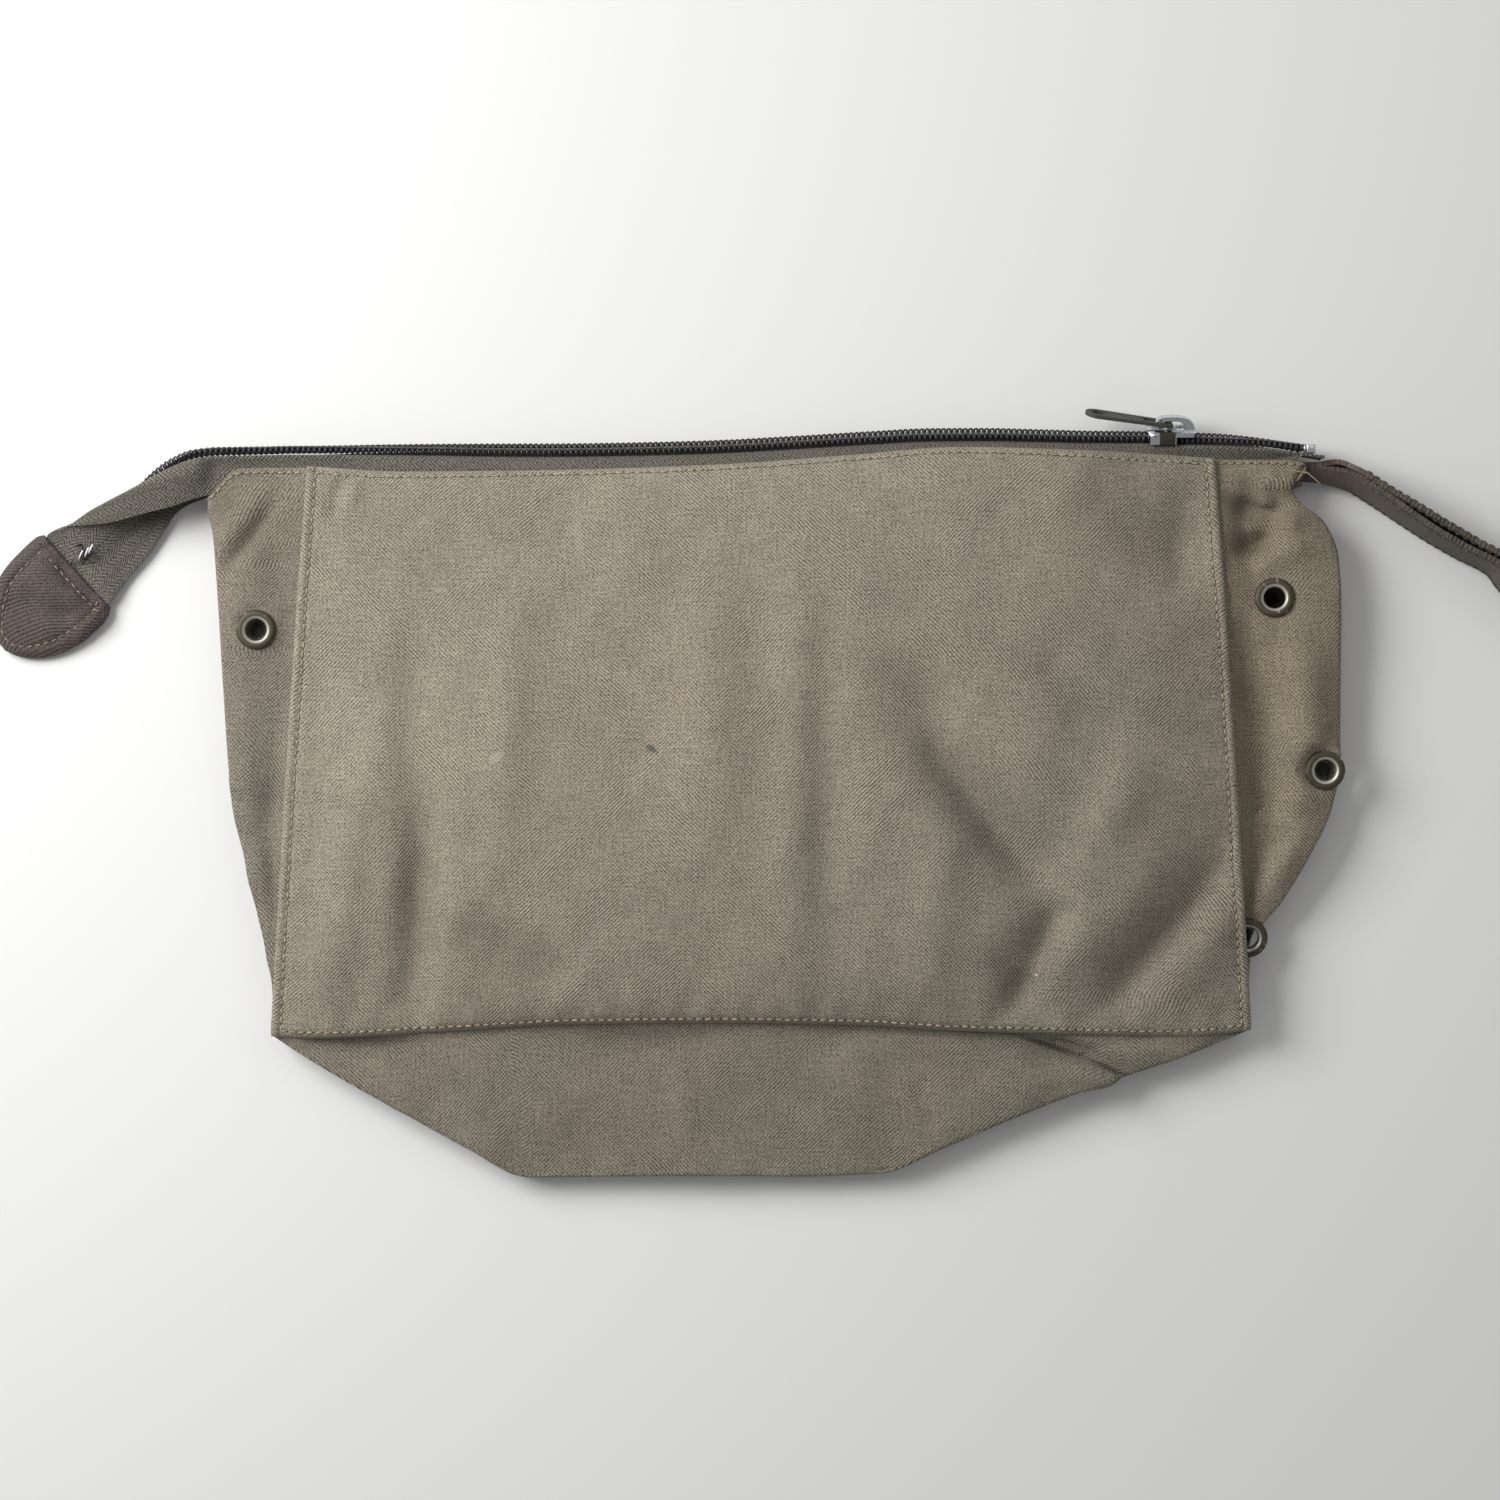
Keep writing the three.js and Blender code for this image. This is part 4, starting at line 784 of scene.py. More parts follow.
def copies(name, one, places, axes, scales=None):
    """Many copies of one small shape as one mesh. axes holds three directions for each copy."""
    points, faces = one
    scales = np.ones((len(places), 3)) if scales is None else scales
    moved = np.einsum("nj,kj,kjd->knd", points, scales, axes) + np.asarray(places)[:, None, :]
    count = len(points)
    mesh = bpy.data.meshes.new(name)
    mesh.from_pydata(
        (moved.reshape(-1, 3) * MM).tolist(), [], [tuple(i + k * count for i in f) for k in range(len(places)) for f in faces]
    )
    piece = bpy.data.objects.new(name, mesh)
    bpy.context.scene.collection.objects.link(piece)
    mesh.polygons.foreach_set("use_smooth", np.ones(len(mesh.polygons), bool))
    return piece


def along_path(points, pitch, start=0.0, end=0.0):
    """Evenly spaced places along a line of points, each as a place on the line's own scale."""
    lengths = np.linalg.norm(np.diff(points, axis=0), axis=1)
    total = np.concatenate([[0], np.cumsum(lengths)])
    count = max(1, int((total[-1] - start - end) / pitch))
    return total, start + (np.arange(count) + 0.5) * (total[-1] - start - end) / count


def unit(v):
    return v / np.maximum(np.linalg.norm(v, axis=-1, keepdims=True), 1e-9)


one_turn = model_once(lambda: bpy.ops.mesh.primitive_torus_add(
    major_radius=1, minor_radius=0.36, major_segments=14, minor_segments=6))
one_bead = model_once(lambda: bpy.ops.mesh.primitive_uv_sphere_add(segments=6, ring_count=5, radius=1))
zip_spots = [tail_at(i) for i in range(TAIL_COIL_ROWS)][::-1]
zip_splits = [COIL_SPLIT] * TAIL_COIL_ROWS
for across in MOUTH_ACROSS[:-1]:
    hem, coil, face, front = zip_at(across)
    zip_spots.append((coil, face, front))
    zip_splits.append(split_at(coil[0]))
coil_line = np.array([spot[0] for spot in zip_spots])
total, turns_at = along_path(coil_line, COIL_PITCH)
line = smooth(total, coil_line, turns_at)
faces_dir = unit(smooth(total, np.array([s[1] for s in zip_spots]), turns_at))
fronts_dir = unit(smooth(total, np.array([s[2] for s in zip_spots]), turns_at))
splits = smooth(total, np.array(zip_splits), turns_at)
coil_pieces, bead_pieces = [], []
for side, half in [("front", 1), ("back", -1)]:
    place = line + fronts_dir * (half * (splits + COIL_WIDE / 2))[:, None]
    ahead = unit(np.gradient(line, axis=0))
    lean = unit(fronts_dir * half + ahead * 0.33)
    normal = unit(np.cross(lean, faces_dir))
    axes = np.stack([lean, faces_dir, normal], 1)
    scale = np.tile([(COIL_WIDE / 2 + 0.1) / 1.36, COIL_THICK / 2 / 1.36, COIL_THREAD / 0.36 * 1.25], (len(place), 1))
    row = copies("zip_coil_" + side + "_turns", one_turn, place, axes, scale)
    finish_piece(row, replaced=["zip_coil_" + side])
    coil_pieces.append(row)
    bead_place = place + faces_dir * (COIL_THICK / 2 - 0.18) + fronts_dir * (half * 0.35) + ahead * COIL_PITCH / 2
    lean = unit(ahead * 1.0 + fronts_dir * half * 0.75)
    third = unit(np.cross(lean, faces_dir))
    axes = np.stack([lean, faces_dir, third], 1)
    beads = copies("coil_thread_" + side, one_bead, bead_place, axes, np.tile([0.95, 0.36, 0.34], (len(place), 1)))
    finish_piece(beads)
    bead_pieces.append(beads)

# %% [markdown]
# ## Eyelets
#
# An eyelet is a thin brass ring pressed over the cloth: a barrel through the hole, a rolled collar on top and a
# flat flange below. Its profile is a row of points that Spin turns about the axis, and Solidify isn't needed
# because the profile is closed.

# %% Eyelets
EYELET_HOLE, EYELET_WIDE, EYELET_SHEET, EYELET_ROLL = 6.6, 12.2, 0.5, 1.2


def spin_profile(name, profile, steps):
    """A closed ring from a closed profile of radius and height, turned about Z by Spin."""
    mesh = bpy.data.meshes.new(name)
    count = len(profile)
    mesh.from_pydata([(r, 0, h) for r, h in profile], [(i, (i + 1) % count) for i in range(count)], [])
    piece = bpy.data.objects.new(name, mesh)
    bpy.context.scene.collection.objects.link(piece)
    deselect()
    piece.select_set(True)
    bpy.context.view_layer.objects.active = piece
    bpy.ops.object.mode_set(mode="EDIT")
    bpy.ops.mesh.select_all(action="SELECT")
    bpy.ops.mesh.spin(steps=steps, angle=2 * math.pi, center=(0, 0, 0), axis=(0, 0, 1))
    bpy.ops.mesh.select_all(action="SELECT")
    bpy.ops.mesh.remove_doubles(threshold=0.001)
    bpy.ops.mesh.normals_make_consistent(inside=False)
    bpy.ops.object.mode_set(mode="OBJECT")
    return piece


def radius_map(ring, points):
    """UV coordinates of a ring: how far out a place is, and how high, in millimetres."""
    layer = ring.data.uv_layers.new(name="radius")
    index = np.empty(len(ring.data.loops), np.int32)
    ring.data.loops.foreach_get("vertex_index", index)
    lay = np.stack([np.hypot(points[:, 0], points[:, 1]), points[:, 2]], 1)[index]
    layer.data.foreach_set("uv", lay.ravel())


def eyelet_profile():
    bore, rim = EYELET_HOLE / 2, EYELET_WIDE / 2
    grip = STRIP_WALL / 2 + 0.05
    crown = (bore + rim) / 2
    points = [(bore, -grip - EYELET_SHEET - 0.9), (bore + 0.3, -grip - EYELET_SHEET - 0.9),
              (bore + 0.35, -grip - EYELET_SHEET), (rim * 0.9, -grip - EYELET_SHEET), (rim * 0.9, -grip),
              (bore + EYELET_SHEET, -grip), (bore + EYELET_SHEET, grip), (rim - 0.25, grip)]
    for angle in np.radians(np.linspace(-35, 175, 12)):
        reach = (rim - bore) / 2
        points.append((crown + reach * math.cos(angle), grip + 0.35 + (EYELET_ROLL - 0.2) * math.sin(angle)))
    return points


eyelet_pieces = []
for node, (middle, axis) in eyelet_spots.items():
    ring = spin_profile(node + "_ring", eyelet_profile(), 48)
    points = np.array([v.co for v in ring.data.vertices])
    side = unit(np.cross([0, 1.0, 0], axis))
    turned = np.stack([side, np.cross(axis, side), axis])
    centre = middle - axis * 0.35
    radius_map(ring, points)
    ring.data.vertices.foreach_set("co", ((points @ turned + centre) * MM).ravel())
    ring.data.update()
    deselect()
    ring.select_set(True)
    bpy.context.view_layer.objects.active = ring
    bpy.ops.object.shade_smooth_by_angle(angle=math.radians(40))
    finish_piece(ring, replaced=[node])
    eyelet_pieces.append(ring)

# %% [markdown]
# ## Slider, pull and stops
#
# These are small castings. Their shapes are right in the frame, but their edges are sharp. A copy of each node is
# merged, its flat faces are joined, and a bevel breaks the edges as casting and wear do.

# %% Slider, pull and stops
def soften_node(node, name, width, segments=2, angle=28, body="bag"):
    """A copy of a node with joined flat faces and rounded edges."""
    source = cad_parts[node]
    piece = bpy.data.objects.new(name, source.data.copy())
    piece.data.name = name
    bpy.context.scene.collection.objects.link(piece)
    piece.data.materials.clear()
    deselect()
    piece.select_set(True)
    bpy.context.view_layer.objects.active = piece
    bpy.ops.object.mode_set(mode="EDIT")
    bpy.ops.mesh.select_all(action="SELECT")
    bpy.ops.mesh.remove_doubles(threshold=1e-6)
    bpy.ops.mesh.dissolve_limited(angle_limit=math.radians(3))
    bpy.ops.object.mode_set(mode="OBJECT")
    apply_modifier(
        piece, "BEVEL", width=width * MM, segments=segments, limit_method="ANGLE",
        angle_limit=math.radians(angle), harden_normals=False,
    )
    bpy.ops.object.shade_smooth_by_angle(angle=math.radians(35))
    return finish_piece(piece, body=body, replaced=[node])


slider = soften_node("zip_slider", "slider_body", 0.3)
pull = soften_node("zip_pull", "pull_tab", 0.22, body="pull")
stops = [
    soften_node("zip_top_stop_front", "top_stop_front", 0.35),
    soften_node("zip_top_stop_back", "top_stop_back", 0.35),
]

# %% [markdown]
# ## End tab
#
# The tab is a folded pocket of twill, sewn round the zip's end. Its outline comes from a table of how far it
# reaches on both sides. A ridge runs round the rim and a groove under the stitches, as on any turned seam.

# %% End tab
TAB_LONG, TAB_WIDE, TAB_HIGH, TAB_WALL = 32.4, 35, 5.4, 1
tab_rows = table(["along", "low", "high", "tall"], [
    [0, -0.41, 0.43, 1], [0.06, -0.45, 0.46, 0.98], [0.16, -0.475, 0.465, 0.94], [0.34, -0.475, 0.46, 0.88],
    [0.55, -0.44, 0.43, 0.8], [0.73, -0.37, 0.335, 0.7], [0.87, -0.27, 0.22, 0.6], [0.955, -0.17, 0.1, 0.5],
    [1, -0.07, -0.02, 0.42],
])
TAB_WAY = unit(np.array([-0.738, -0.675, 0]))
TAB_SIDE = np.array([-TAB_WAY[1], TAB_WAY[0], 0])
TAB_STITCH = 4.2
mouth = tail_at(6)[0] * np.array([1, 1, 0])


def tab_point(along, beside):
    """A place in the tab's outline: along from mouth to tip, beside from -1 to 1, in millimetres."""
    low = -smooth(tab_rows["along"], tab_rows["high"], along) * TAB_WIDE
    high = -smooth(tab_rows["along"], tab_rows["low"], along) * TAB_WIDE
    across = mix(low, high, (beside + 1) / 2)
    spot = mouth + TAB_WAY * np.asarray(along * TAB_LONG)[..., None] + TAB_SIDE * np.asarray(across)[..., None]
    return spot, (high - low) / 2


def tab_ring_height(along, beside):
    tall = smooth(tab_rows["along"], tab_rows["tall"], along) * TAB_HIGH / 2
    spot, half = tab_point(along, beside)
    rim = np.minimum((1 - np.abs(beside)) * half, (1 - along) * TAB_LONG * 0.9)
    body = tall * (1 - np.abs(beside) ** 3.2) ** 0.55
    ridge = 0.35 * np.exp(-(((rim - 2.2) / 1.3) ** 2)) - 0.45 * np.exp(-(((rim - TAB_STITCH) / 0.8) ** 2))
    mouth_seam = -0.4 * np.exp(-(((along * TAB_LONG - 3.4) / 0.8) ** 2)) * (np.abs(beside) < 0.92)
    return spot, tall, body, ridge + mouth_seam


TAB_CREASES = [
    ([(22, 560), (48, 585), (84, 604)], 3.6, 1.5),
    ([(50, 552), (66, 580), (98, 602)], 2.4, -1.9),
    ([(12, 590), (46, 612), (78, 618)], 3.0, -1.2),
    ([(30, 630), (60, 628), (84, 618)], 3.0, 0.6),
]
tab_along = np.concatenate([np.linspace(0, 0.9, 40), 1 - 0.1 * np.linspace(0.93, 0, 14) ** 1.6])
rings = []
angles = np.linspace(0, 2 * math.pi, 97)
for along in tab_along:
    beside = np.sign(np.cos(angles)) * np.abs(np.cos(angles)) ** 0.8
    spot, tall, body, relief = tab_ring_height(np.full(len(angles), along), beside)
    upper = np.sin(angles) >= 0
    wave = ripple(spot[:, 0], spot[:, 1], 77, 17, 0.35)
    wave = wave + sum(fold_along(spot[:, 0], spot[:, 1], path, width, depth) for path, width, depth in TAB_CREASES)
    spot[:, 2] = np.where(upper, tall + body + (relief + wave) * np.minimum(1, body / 0.8), tall - body) + 0.02
    spot[:, 2] = np.maximum(spot[:, 2], TAB_WALL / 2 + 0.02)
    rings.append(spot)
tab_points = np.array(rings)[:, ::-1]
tab = cloth_grid("end_tab_twill", tab_points, TAB_WALL, rim=0)
deselect()
tab.select_set(True)
bpy.context.view_layer.objects.active = tab
bpy.ops.object.mode_set(mode="EDIT")
bpy.ops.mesh.select_all(action="SELECT")
bpy.ops.mesh.remove_doubles(threshold=2e-5)
bpy.ops.mesh.normals_make_consistent(inside=False)
bpy.ops.object.mode_set(mode="OBJECT")
finish_piece(tab, replaced=["end_tab"])

# %% [markdown]
# ## Hanging loop
#
# The loop is a doubled band that stands on its edge. It is a strip that follows the route, with a slow wave along it.

# %% Hanging loop
LOOP_LONG, LOOP_WIDE, LOOP_WALL = 75, 16, 1.6
loop_rows = table(["ahead", "drop", "wide", "high", "lean"], [
    [-0.08, 0, 0.3, 0.4, 0], [0.01, 0, 0.3, 0.4, 0], [0.09, -0.01, 0.5, 0.42, 0], [0.165, 0.018, 0.8, 0.48, 2],
    [0.29, 0.1, 1, 0.54, 2], [0.42, 0.178, 1, 0.54, 2], [0.56, 0.262, 1, 0.54, 3], [0.745, 0.36, 1, 0.54, 4],
    [0.82, 0.385, 1, 0.54, 4], [0.9, 0.425, 1, 0.54, 4], [0.955, 0.48, 1, 0.54, 5], [0.965, 0.54, 1, 0.54, 6],
    [0.92, 0.575, 1, 0.54, 7], [0.85, 0.55, 1, 0.54, 8], [0.79, 0.49, 1, 0.54, 8], [0.745, 0.43, 1, 0.54, 8],
    [0.6, 0.352, 1, 0.54, 8], [0.475, 0.28, 1, 0.54, 8], [0.355, 0.2, 1, 0.54, 9],
    [0.245, 0.122, 0.9, 0.5, 14], [0.17, 0.072, 0.7, 0.46, 24],
    [0.1, 0.05, 0.5, 0.42, 36], [0.01, 0.034, 0.4, 0.4, 46], [-0.1, 0.03, 0.36, 0.4, 50],
])
corner = np.array([TOP_WIDTH / 2 + 0.66 * HALF_DEPTH, front_surface(1.0, 1.0)[1], 0])
loop_middle = np.stack([
    corner[0] + loop_rows["ahead"] * LOOP_LONG, corner[1] - 1.2 - loop_rows["drop"] * LOOP_LONG,
    loop_rows["high"] * LOOP_WIDE], 1)
sizes = np.linalg.norm(np.diff(loop_middle, axis=0), axis=1)
loop_place = np.concatenate([[0], np.cumsum(sizes)])
fine = finer(loop_place, 1.1)
middle_line = smooth(loop_place, loop_middle, fine)
loop_wide = smooth(loop_place, loop_rows["wide"], fine) * LOOP_WIDE / 2
loop_lean = np.radians(smooth(loop_place, loop_rows["lean"], fine))
loop_ahead = np.gradient(middle_line, axis=0) * [1, 1, 0]
loop_ahead = unit(loop_ahead)
loop_thick = np.stack([-loop_ahead[:, 1], loop_ahead[:, 0], np.zeros(len(fine))], 1)
loop_up = np.array([0, 0, 1.0]) * np.cos(loop_lean)[:, None] - loop_thick * np.sin(loop_lean)[:, None]
shares = np.linspace(-1, 1, 22)
loop_points = middle_line[None] + loop_up[None] * (loop_wide[None] * shares[:, None])[..., None]
wave = 0.25 * np.sin(fine / 11)[None] * np.cos(shares * 2)[:, None]
loop_points = loop_points + loop_thick[None] * wave[..., None]
hanging_loop = cloth_grid("hanging_loop_band", loop_points, LOOP_WALL, rim=0.45)
finish_piece(hanging_loop, replaced=["hanging_loop"])

# %% [markdown]
# ## Stitches
#
# Every seam of the bag is topstitched in a light tan thread. One stitch is a sphere stretched to a grain of rice;
# it is copied along each seam at its real pitch and lies half sunk in the cloth. Stitches are never quite
# even, so each gets a small seeded turn and length.

# %% Stitches
STITCH_PITCH, STITCH_LONG, STITCH_THICK = 2.7, 2.05, 0.56
one_stitch = model_once(lambda: bpy.ops.mesh.primitive_uv_sphere_add(segments=8, ring_count=7, radius=1))
stitch_lines, needle_hole_shadows = {}, {}


def sew(name, line, normals, seed, pitch=STITCH_PITCH, sink=0.06):
    """A row of stitches along a line of points, each lying on the surface with the given normals."""
    total, spots = along_path(line, pitch)
    place = smooth(total, line, spots)
    up = unit(smooth(total, normals, spots))
    ahead = unit(smooth(total, np.gradient(line, total, axis=0), spots))
    rng = np.random.default_rng(seed)
    side = unit(np.cross(up, ahead))
    ahead = unit(ahead + side * rng.normal(0, 0.07, len(spots))[:, None])
    side = unit(np.cross(up, ahead))
    place = place + up * (STITCH_THICK * 0.5 - sink) + side * rng.normal(0, 0.06, len(spots))[:, None]
    long = STITCH_LONG / 2 * pitch / STITCH_PITCH * rng.uniform(0.88, 1.08, len(spots))
    scale = np.stack([long, np.full(len(spots), STITCH_THICK / 2), np.full(len(spots), STITCH_THICK / 2)], 1)
    stitch_lines[name] = copies(name, one_stitch, place, np.stack([ahead, side, up], 1), scale)
    # Between two stitches a flat dark disc stands in the needle hole's place: painted shade for the hole.
    hole_spots = spots + (spots[1] - spots[0]) / 2
    hole_up = unit(smooth(total, normals, hole_spots))
    hole_ahead = unit(smooth(total, np.gradient(line, total, axis=0), hole_spots))
    hole_axes = np.stack([hole_ahead, unit(np.cross(hole_up, hole_ahead)), hole_up], 1)
    size = np.tile([0.36 * pitch / STITCH_PITCH, 0.36, 0.1], (len(spots), 1))
    holes = copies("needle_hole_shadows_" + name, one_bead, smooth(total, line, hole_spots), hole_axes, size)
    needle_hole_shadows[name] = finish_piece(holes)
    return finish_piece(stitch_lines[name])


def on_front(across, up):
    """Points of the front panel's upper face, with their normals."""
    step = 0.002
    point = front_dressed(across, up)
    along = front_dressed(np.minimum(across + step, 1), up) - front_dressed(np.maximum(across - step, 0), up)
    over = front_dressed(across, np.minimum(up + step, 1)) - front_dressed(across, np.maximum(up - step, 0))
    normal = unit(np.cross(along, over))
    return point + normal * PANEL_WALL / 2, normal


run = np.linspace(0.006, 0.994, 160)
wide = BOTTOM_WIDTH + (TOP_WIDTH - BOTTOM_WIDTH) * run
for name, across, up, seed in [
    ("stitches_front_left", SIDE_STITCH / wide, run, 1),
    ("stitches_front_right", 1 - SIDE_STITCH / wide, run, 2),
    ("stitches_front_top", run, np.full(run.shape, 1 - TOP_STITCH / HEIGHT), 3),
    ("stitches_front_bottom", run, np.full(run.shape, BOTTOM_STITCH / HEIGHT), 4),
]:
    point, normal = on_front(across, up)
    sew(name, point, normal, seed)


def sew_wall(name, points, column_from, column_to, row_back, seed):
    """A row of stitches along the top hem of a side wall, between two columns of its grid."""
    normal = grid_normals(points)
    columns = np.arange(column_from, column_to)
    line = points[-1 - row_back, columns]
    facing = normal[-1 - row_back, columns]
    facing = facing * np.sign(facing[:, 2:3])
    return sew(name, line + facing * STRIP_WALL / 2, facing, seed, pitch=2.5)


sew_wall("stitches_left_hem", left_points, 4, 27, 1, 5)
sew_wall("stitches_right_hem", right_points, 4, 25, 1, 6)

outline = np.linspace(0.02, 0.9, 60)
tab_edge = []
for beside_sign, run_along in [(1, outline), (-1, outline[::-1])]:
    spot, half = tab_point(run_along, np.full(run_along.shape, 0.0))
    beside = beside_sign * (1 - TAB_STITCH / half)
    spot, tall, body, relief = tab_ring_height(run_along, beside)
    spot[:, 2] = tall + body + relief + TAB_WALL / 2
    tab_edge.append(spot)
tab_line = np.concatenate(tab_edge)
sew("stitches_tab_rim", tab_line, np.tile([0, 0, 1.0], (len(tab_line), 1)), 7, pitch=2.5)
run_beside = np.linspace(-0.86, 0.86, 40)
spot, tall, body, relief = tab_ring_height(np.full(40, 3.4 / TAB_LONG), run_beside)
spot[:, 2] = tall + body + relief + TAB_WALL / 2
sew("stitches_tab_mouth", spot, np.tile([0, 0, 1.0], (40, 1)), 8, pitch=2.5)

for k, (share, side) in enumerate([(0.8, 1), (-0.8, 1), (0.8, -1), (-0.8, -1)]):
    row = int(np.argmin(np.abs(shares - share)))
    inside = slice(22, len(fine) - 22)
    face = loop_thick[inside] * side
    sew("stitches_loop_%d" % k, loop_points[row, inside] + face * LOOP_WALL / 2, face, 10 + k)

STAPLE_NODE = "zip_bottom_stop"
staple_points = np.array([v.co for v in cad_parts[STAPLE_NODE].data.vertices]) / MM
staple_middle = (staple_points.min(0) + staple_points.max(0)) / 2
coil, face, front = tail_at(TAIL_COIL_ROWS - 1)
ahead = unit(np.cross(face, front))
rng = np.random.default_rng(50)
PRONGS = np.array([[(75, 558.5), (80, 548)], [(81, 556.5), (86, 545)], [(85.5, 551.5), (90, 543)]])
ends = np.stack([*from_photo(PRONGS[..., 0], PRONGS[..., 1]), np.zeros((3, 2))], -1)
ends[..., 2] = staple_middle[2] - ((ends - staple_middle)[..., :2] @ face[:2]) / face[2]
ends -= face * 0.6
spots, turned = ends.mean(1), unit(ends[:, 1] - ends[:, 0])
staple_middle = spots.mean(0)
axes = np.stack([turned, unit(np.cross(-face, turned)), np.tile(-face, (3, 1))], 1)
prongs = copies("staple_prongs", one_stitch, spots, axes, np.tile([1.9, 0.32, 0.45], (3, 1)))
finish_piece(prongs, replaced=[STAPLE_NODE])
stops.append(prongs)
count = 14
spots = staple_middle + front * rng.normal(0, 1.8, (count, 1)) + ahead * rng.normal(0, 2.0, (count, 1)) + face * 0.3
lean = unit(rng.normal(0, 1, (count, 3)) * 0.5 + ahead)
up = unit(-face + rng.normal(0, 0.35, (count, 3)))
side = unit(np.cross(up, lean))
axes = np.stack([lean, unit(np.cross(side, lean)), side], 1)
size = np.stack([rng.uniform(0.5, 1.1, count), rng.uniform(0.3, 0.5, count), np.full(count, 0.55)], 1)
tangle = copies("loose_zip_threads", one_turn, spots, axes, size)
finish_piece(tangle)

corner_ties = np.array([[(1296, 482), (1307, 466)], [(1304, 470), (1323, 486)], [(1290, 470), (1312, 474)]], float)
ends = np.stack(from_photo(corner_ties[..., 0], corner_ties[..., 1]), -1)
ties = unit(np.concatenate([ends[:, 1] - ends[:, 0], np.zeros((3, 1))], 1))
spots = np.concatenate([ends.mean(1), np.full((3, 1), 12.2)], 1)
up = np.tile([0, 0, 1.0], (3, 1))
long = np.linalg.norm(ends[:, 1] - ends[:, 0], axis=1) / 2
axes = np.stack([ties, np.cross(up, ties), up], 1)
knots = copies("corner_threads", one_stitch, spots, axes, np.stack([long, np.full(3, 0.17), np.full(3, 0.17)], 1))
stitch_lines["corner_threads"] = finish_piece(knots)

# %% [markdown]


# %% [markdown]
# ## Weave
#
# Canvas is a plain weave: each yarn passes over one and under the next. At the distance of the photo the yarns
# join into fine slanting lines, which lean one way in one patch of cloth and the other way in the next, with a
# light and dark speckle over them. The groups below make height and shade from the cloth's own UV lengths.

# %% Weave group
def new_group(name, inputs, outputs):
    """A shader node group with named sockets."""
    group = bpy.data.node_groups.new(name, "ShaderNodeTree")
    for label, value in inputs:
        socket = group.interface.new_socket(name=label, in_out="INPUT", socket_type="NodeSocketFloat")
        socket.default_value = value
    for label in outputs:
        group.interface.new_socket(name=label, in_out="OUTPUT", socket_type="NodeSocketFloat")
    return group, group.nodes.new("NodeGroupInput"), group.nodes.new("NodeGroupOutput")


def math_node(tree, operation, a, b=None, clamp=False):
    node = tree.nodes.new("ShaderNodeMath")
    node.operation, node.use_clamp = operation, clamp
    for socket, value in zip(node.inputs, (a, b)):
        if value is None:
            continue
        if isinstance(value, (int, float)):
            socket.default_value = value
        else:
            tree.links.new(value, socket)
    return node.outputs[0]


def total_of(tree, *parts):
    """The sum of values, each multiplied by its own number."""
    result = None
    for value, weight in parts:
        part = math_node(tree, "MULTIPLY", value, weight)
        result = part if result is None else math_node(tree, "ADD", result, part)
    return result


def noise_node(tree, vector, scale, detail=2.0, rough=0.5):
    node = tree.nodes.new("ShaderNodeTexNoise")
    node.inputs["Scale"].default_value = scale
    node.inputs["Detail"].default_value = detail
    node.inputs["Roughness"].default_value = rough
    tree.links.new(vector, node.inputs["Vector"])
    return node.outputs["Fac"]


def combine(tree, x, y, z=0.0):
    node = tree.nodes.new("ShaderNodeCombineXYZ")
    for socket, value in zip(node.inputs, (x, y, z)):
        if isinstance(value, (int, float)):
            socket.default_value = value
        else:
            tree.links.new(value, socket)
    return node.outputs[0]


def ramp(tree, value, low, high):
    node = tree.nodes.new("ShaderNodeMapRange")
    tree.links.new(value, node.inputs["Value"])
    node.inputs["From Min"].default_value, node.inputs["From Max"].default_value = low, high
    return node.outputs["Result"]


def uv_parts(tree):
    node = tree.nodes.new("ShaderNodeUVMap")
    parts = tree.nodes.new("ShaderNodeSeparateXYZ")
    tree.links.new(node.outputs["UV"], parts.inputs[0])
    return parts.outputs["X"], parts.outputs["Y"]


def wave_of(tree, value, pitch):
    return math_node(tree, "SINE", math_node(tree, "MULTIPLY", value, 2 * math.pi / pitch))


def blend_values(tree, share, a, b):
    return math_node(tree, "ADD", math_node(tree, "MULTIPLY", b, share),
                     math_node(tree, "MULTIPLY", a, math_node(tree, "SUBTRACT", 1.0, share)))


YARN = 0.0006
weave, given, result = new_group(
    "canvas_weave", [("Line pitch", 0.00095), ("Speckle", 1.0), ("Bend", 0.0025)], ["Height", "Shade"]
)
u, v = uv_parts(weave)
warp, weft = wave_of(weave, u, 2 * YARN), wave_of(weave, v, 2 * YARN)
checker = math_node(weave, "MULTIPLY", warp, weft)
turns = math_node(weave, "DIVIDE", 2 * math.pi, given.outputs["Line pitch"])
bend = noise_node(weave, combine(weave, u, v), 55.0, 2.0)
bent = math_node(weave, "MULTIPLY", bend, given.outputs["Bend"])
rising = math_node(weave, "SINE", math_node(weave, "MULTIPLY", turns, total_of(weave, (u, 0.75), (v, 0.75), (bent, 1.0))))
falling = math_node(weave, "SINE", math_node(weave, "MULTIPLY", turns, total_of(weave, (u, 0.75), (v, -0.75), (bent, 1.0))))
patch = ramp(weave, noise_node(weave, combine(weave, u, v), 14.0, 1.0), 0.44, 0.56)
lines = blend_values(weave, patch, rising, falling)
strength = ramp(weave, noise_node(weave, combine(weave, u, v), 38.0, 2.0), 0.22, 0.56)
lines = math_node(weave, "MULTIPLY", lines, strength)
grain = noise_node(weave, combine(weave, u, v), 1500.0, 3.0, 0.7)
grain = math_node(weave, "MULTIPLY", math_node(weave, "SUBTRACT", grain, 0.5), given.outputs["Speckle"])
slub_u = noise_node(weave, combine(weave, math_node(weave, "MULTIPLY", u, 110.0), math_node(weave, "MULTIPLY", v, 1700.0)), 1.0)
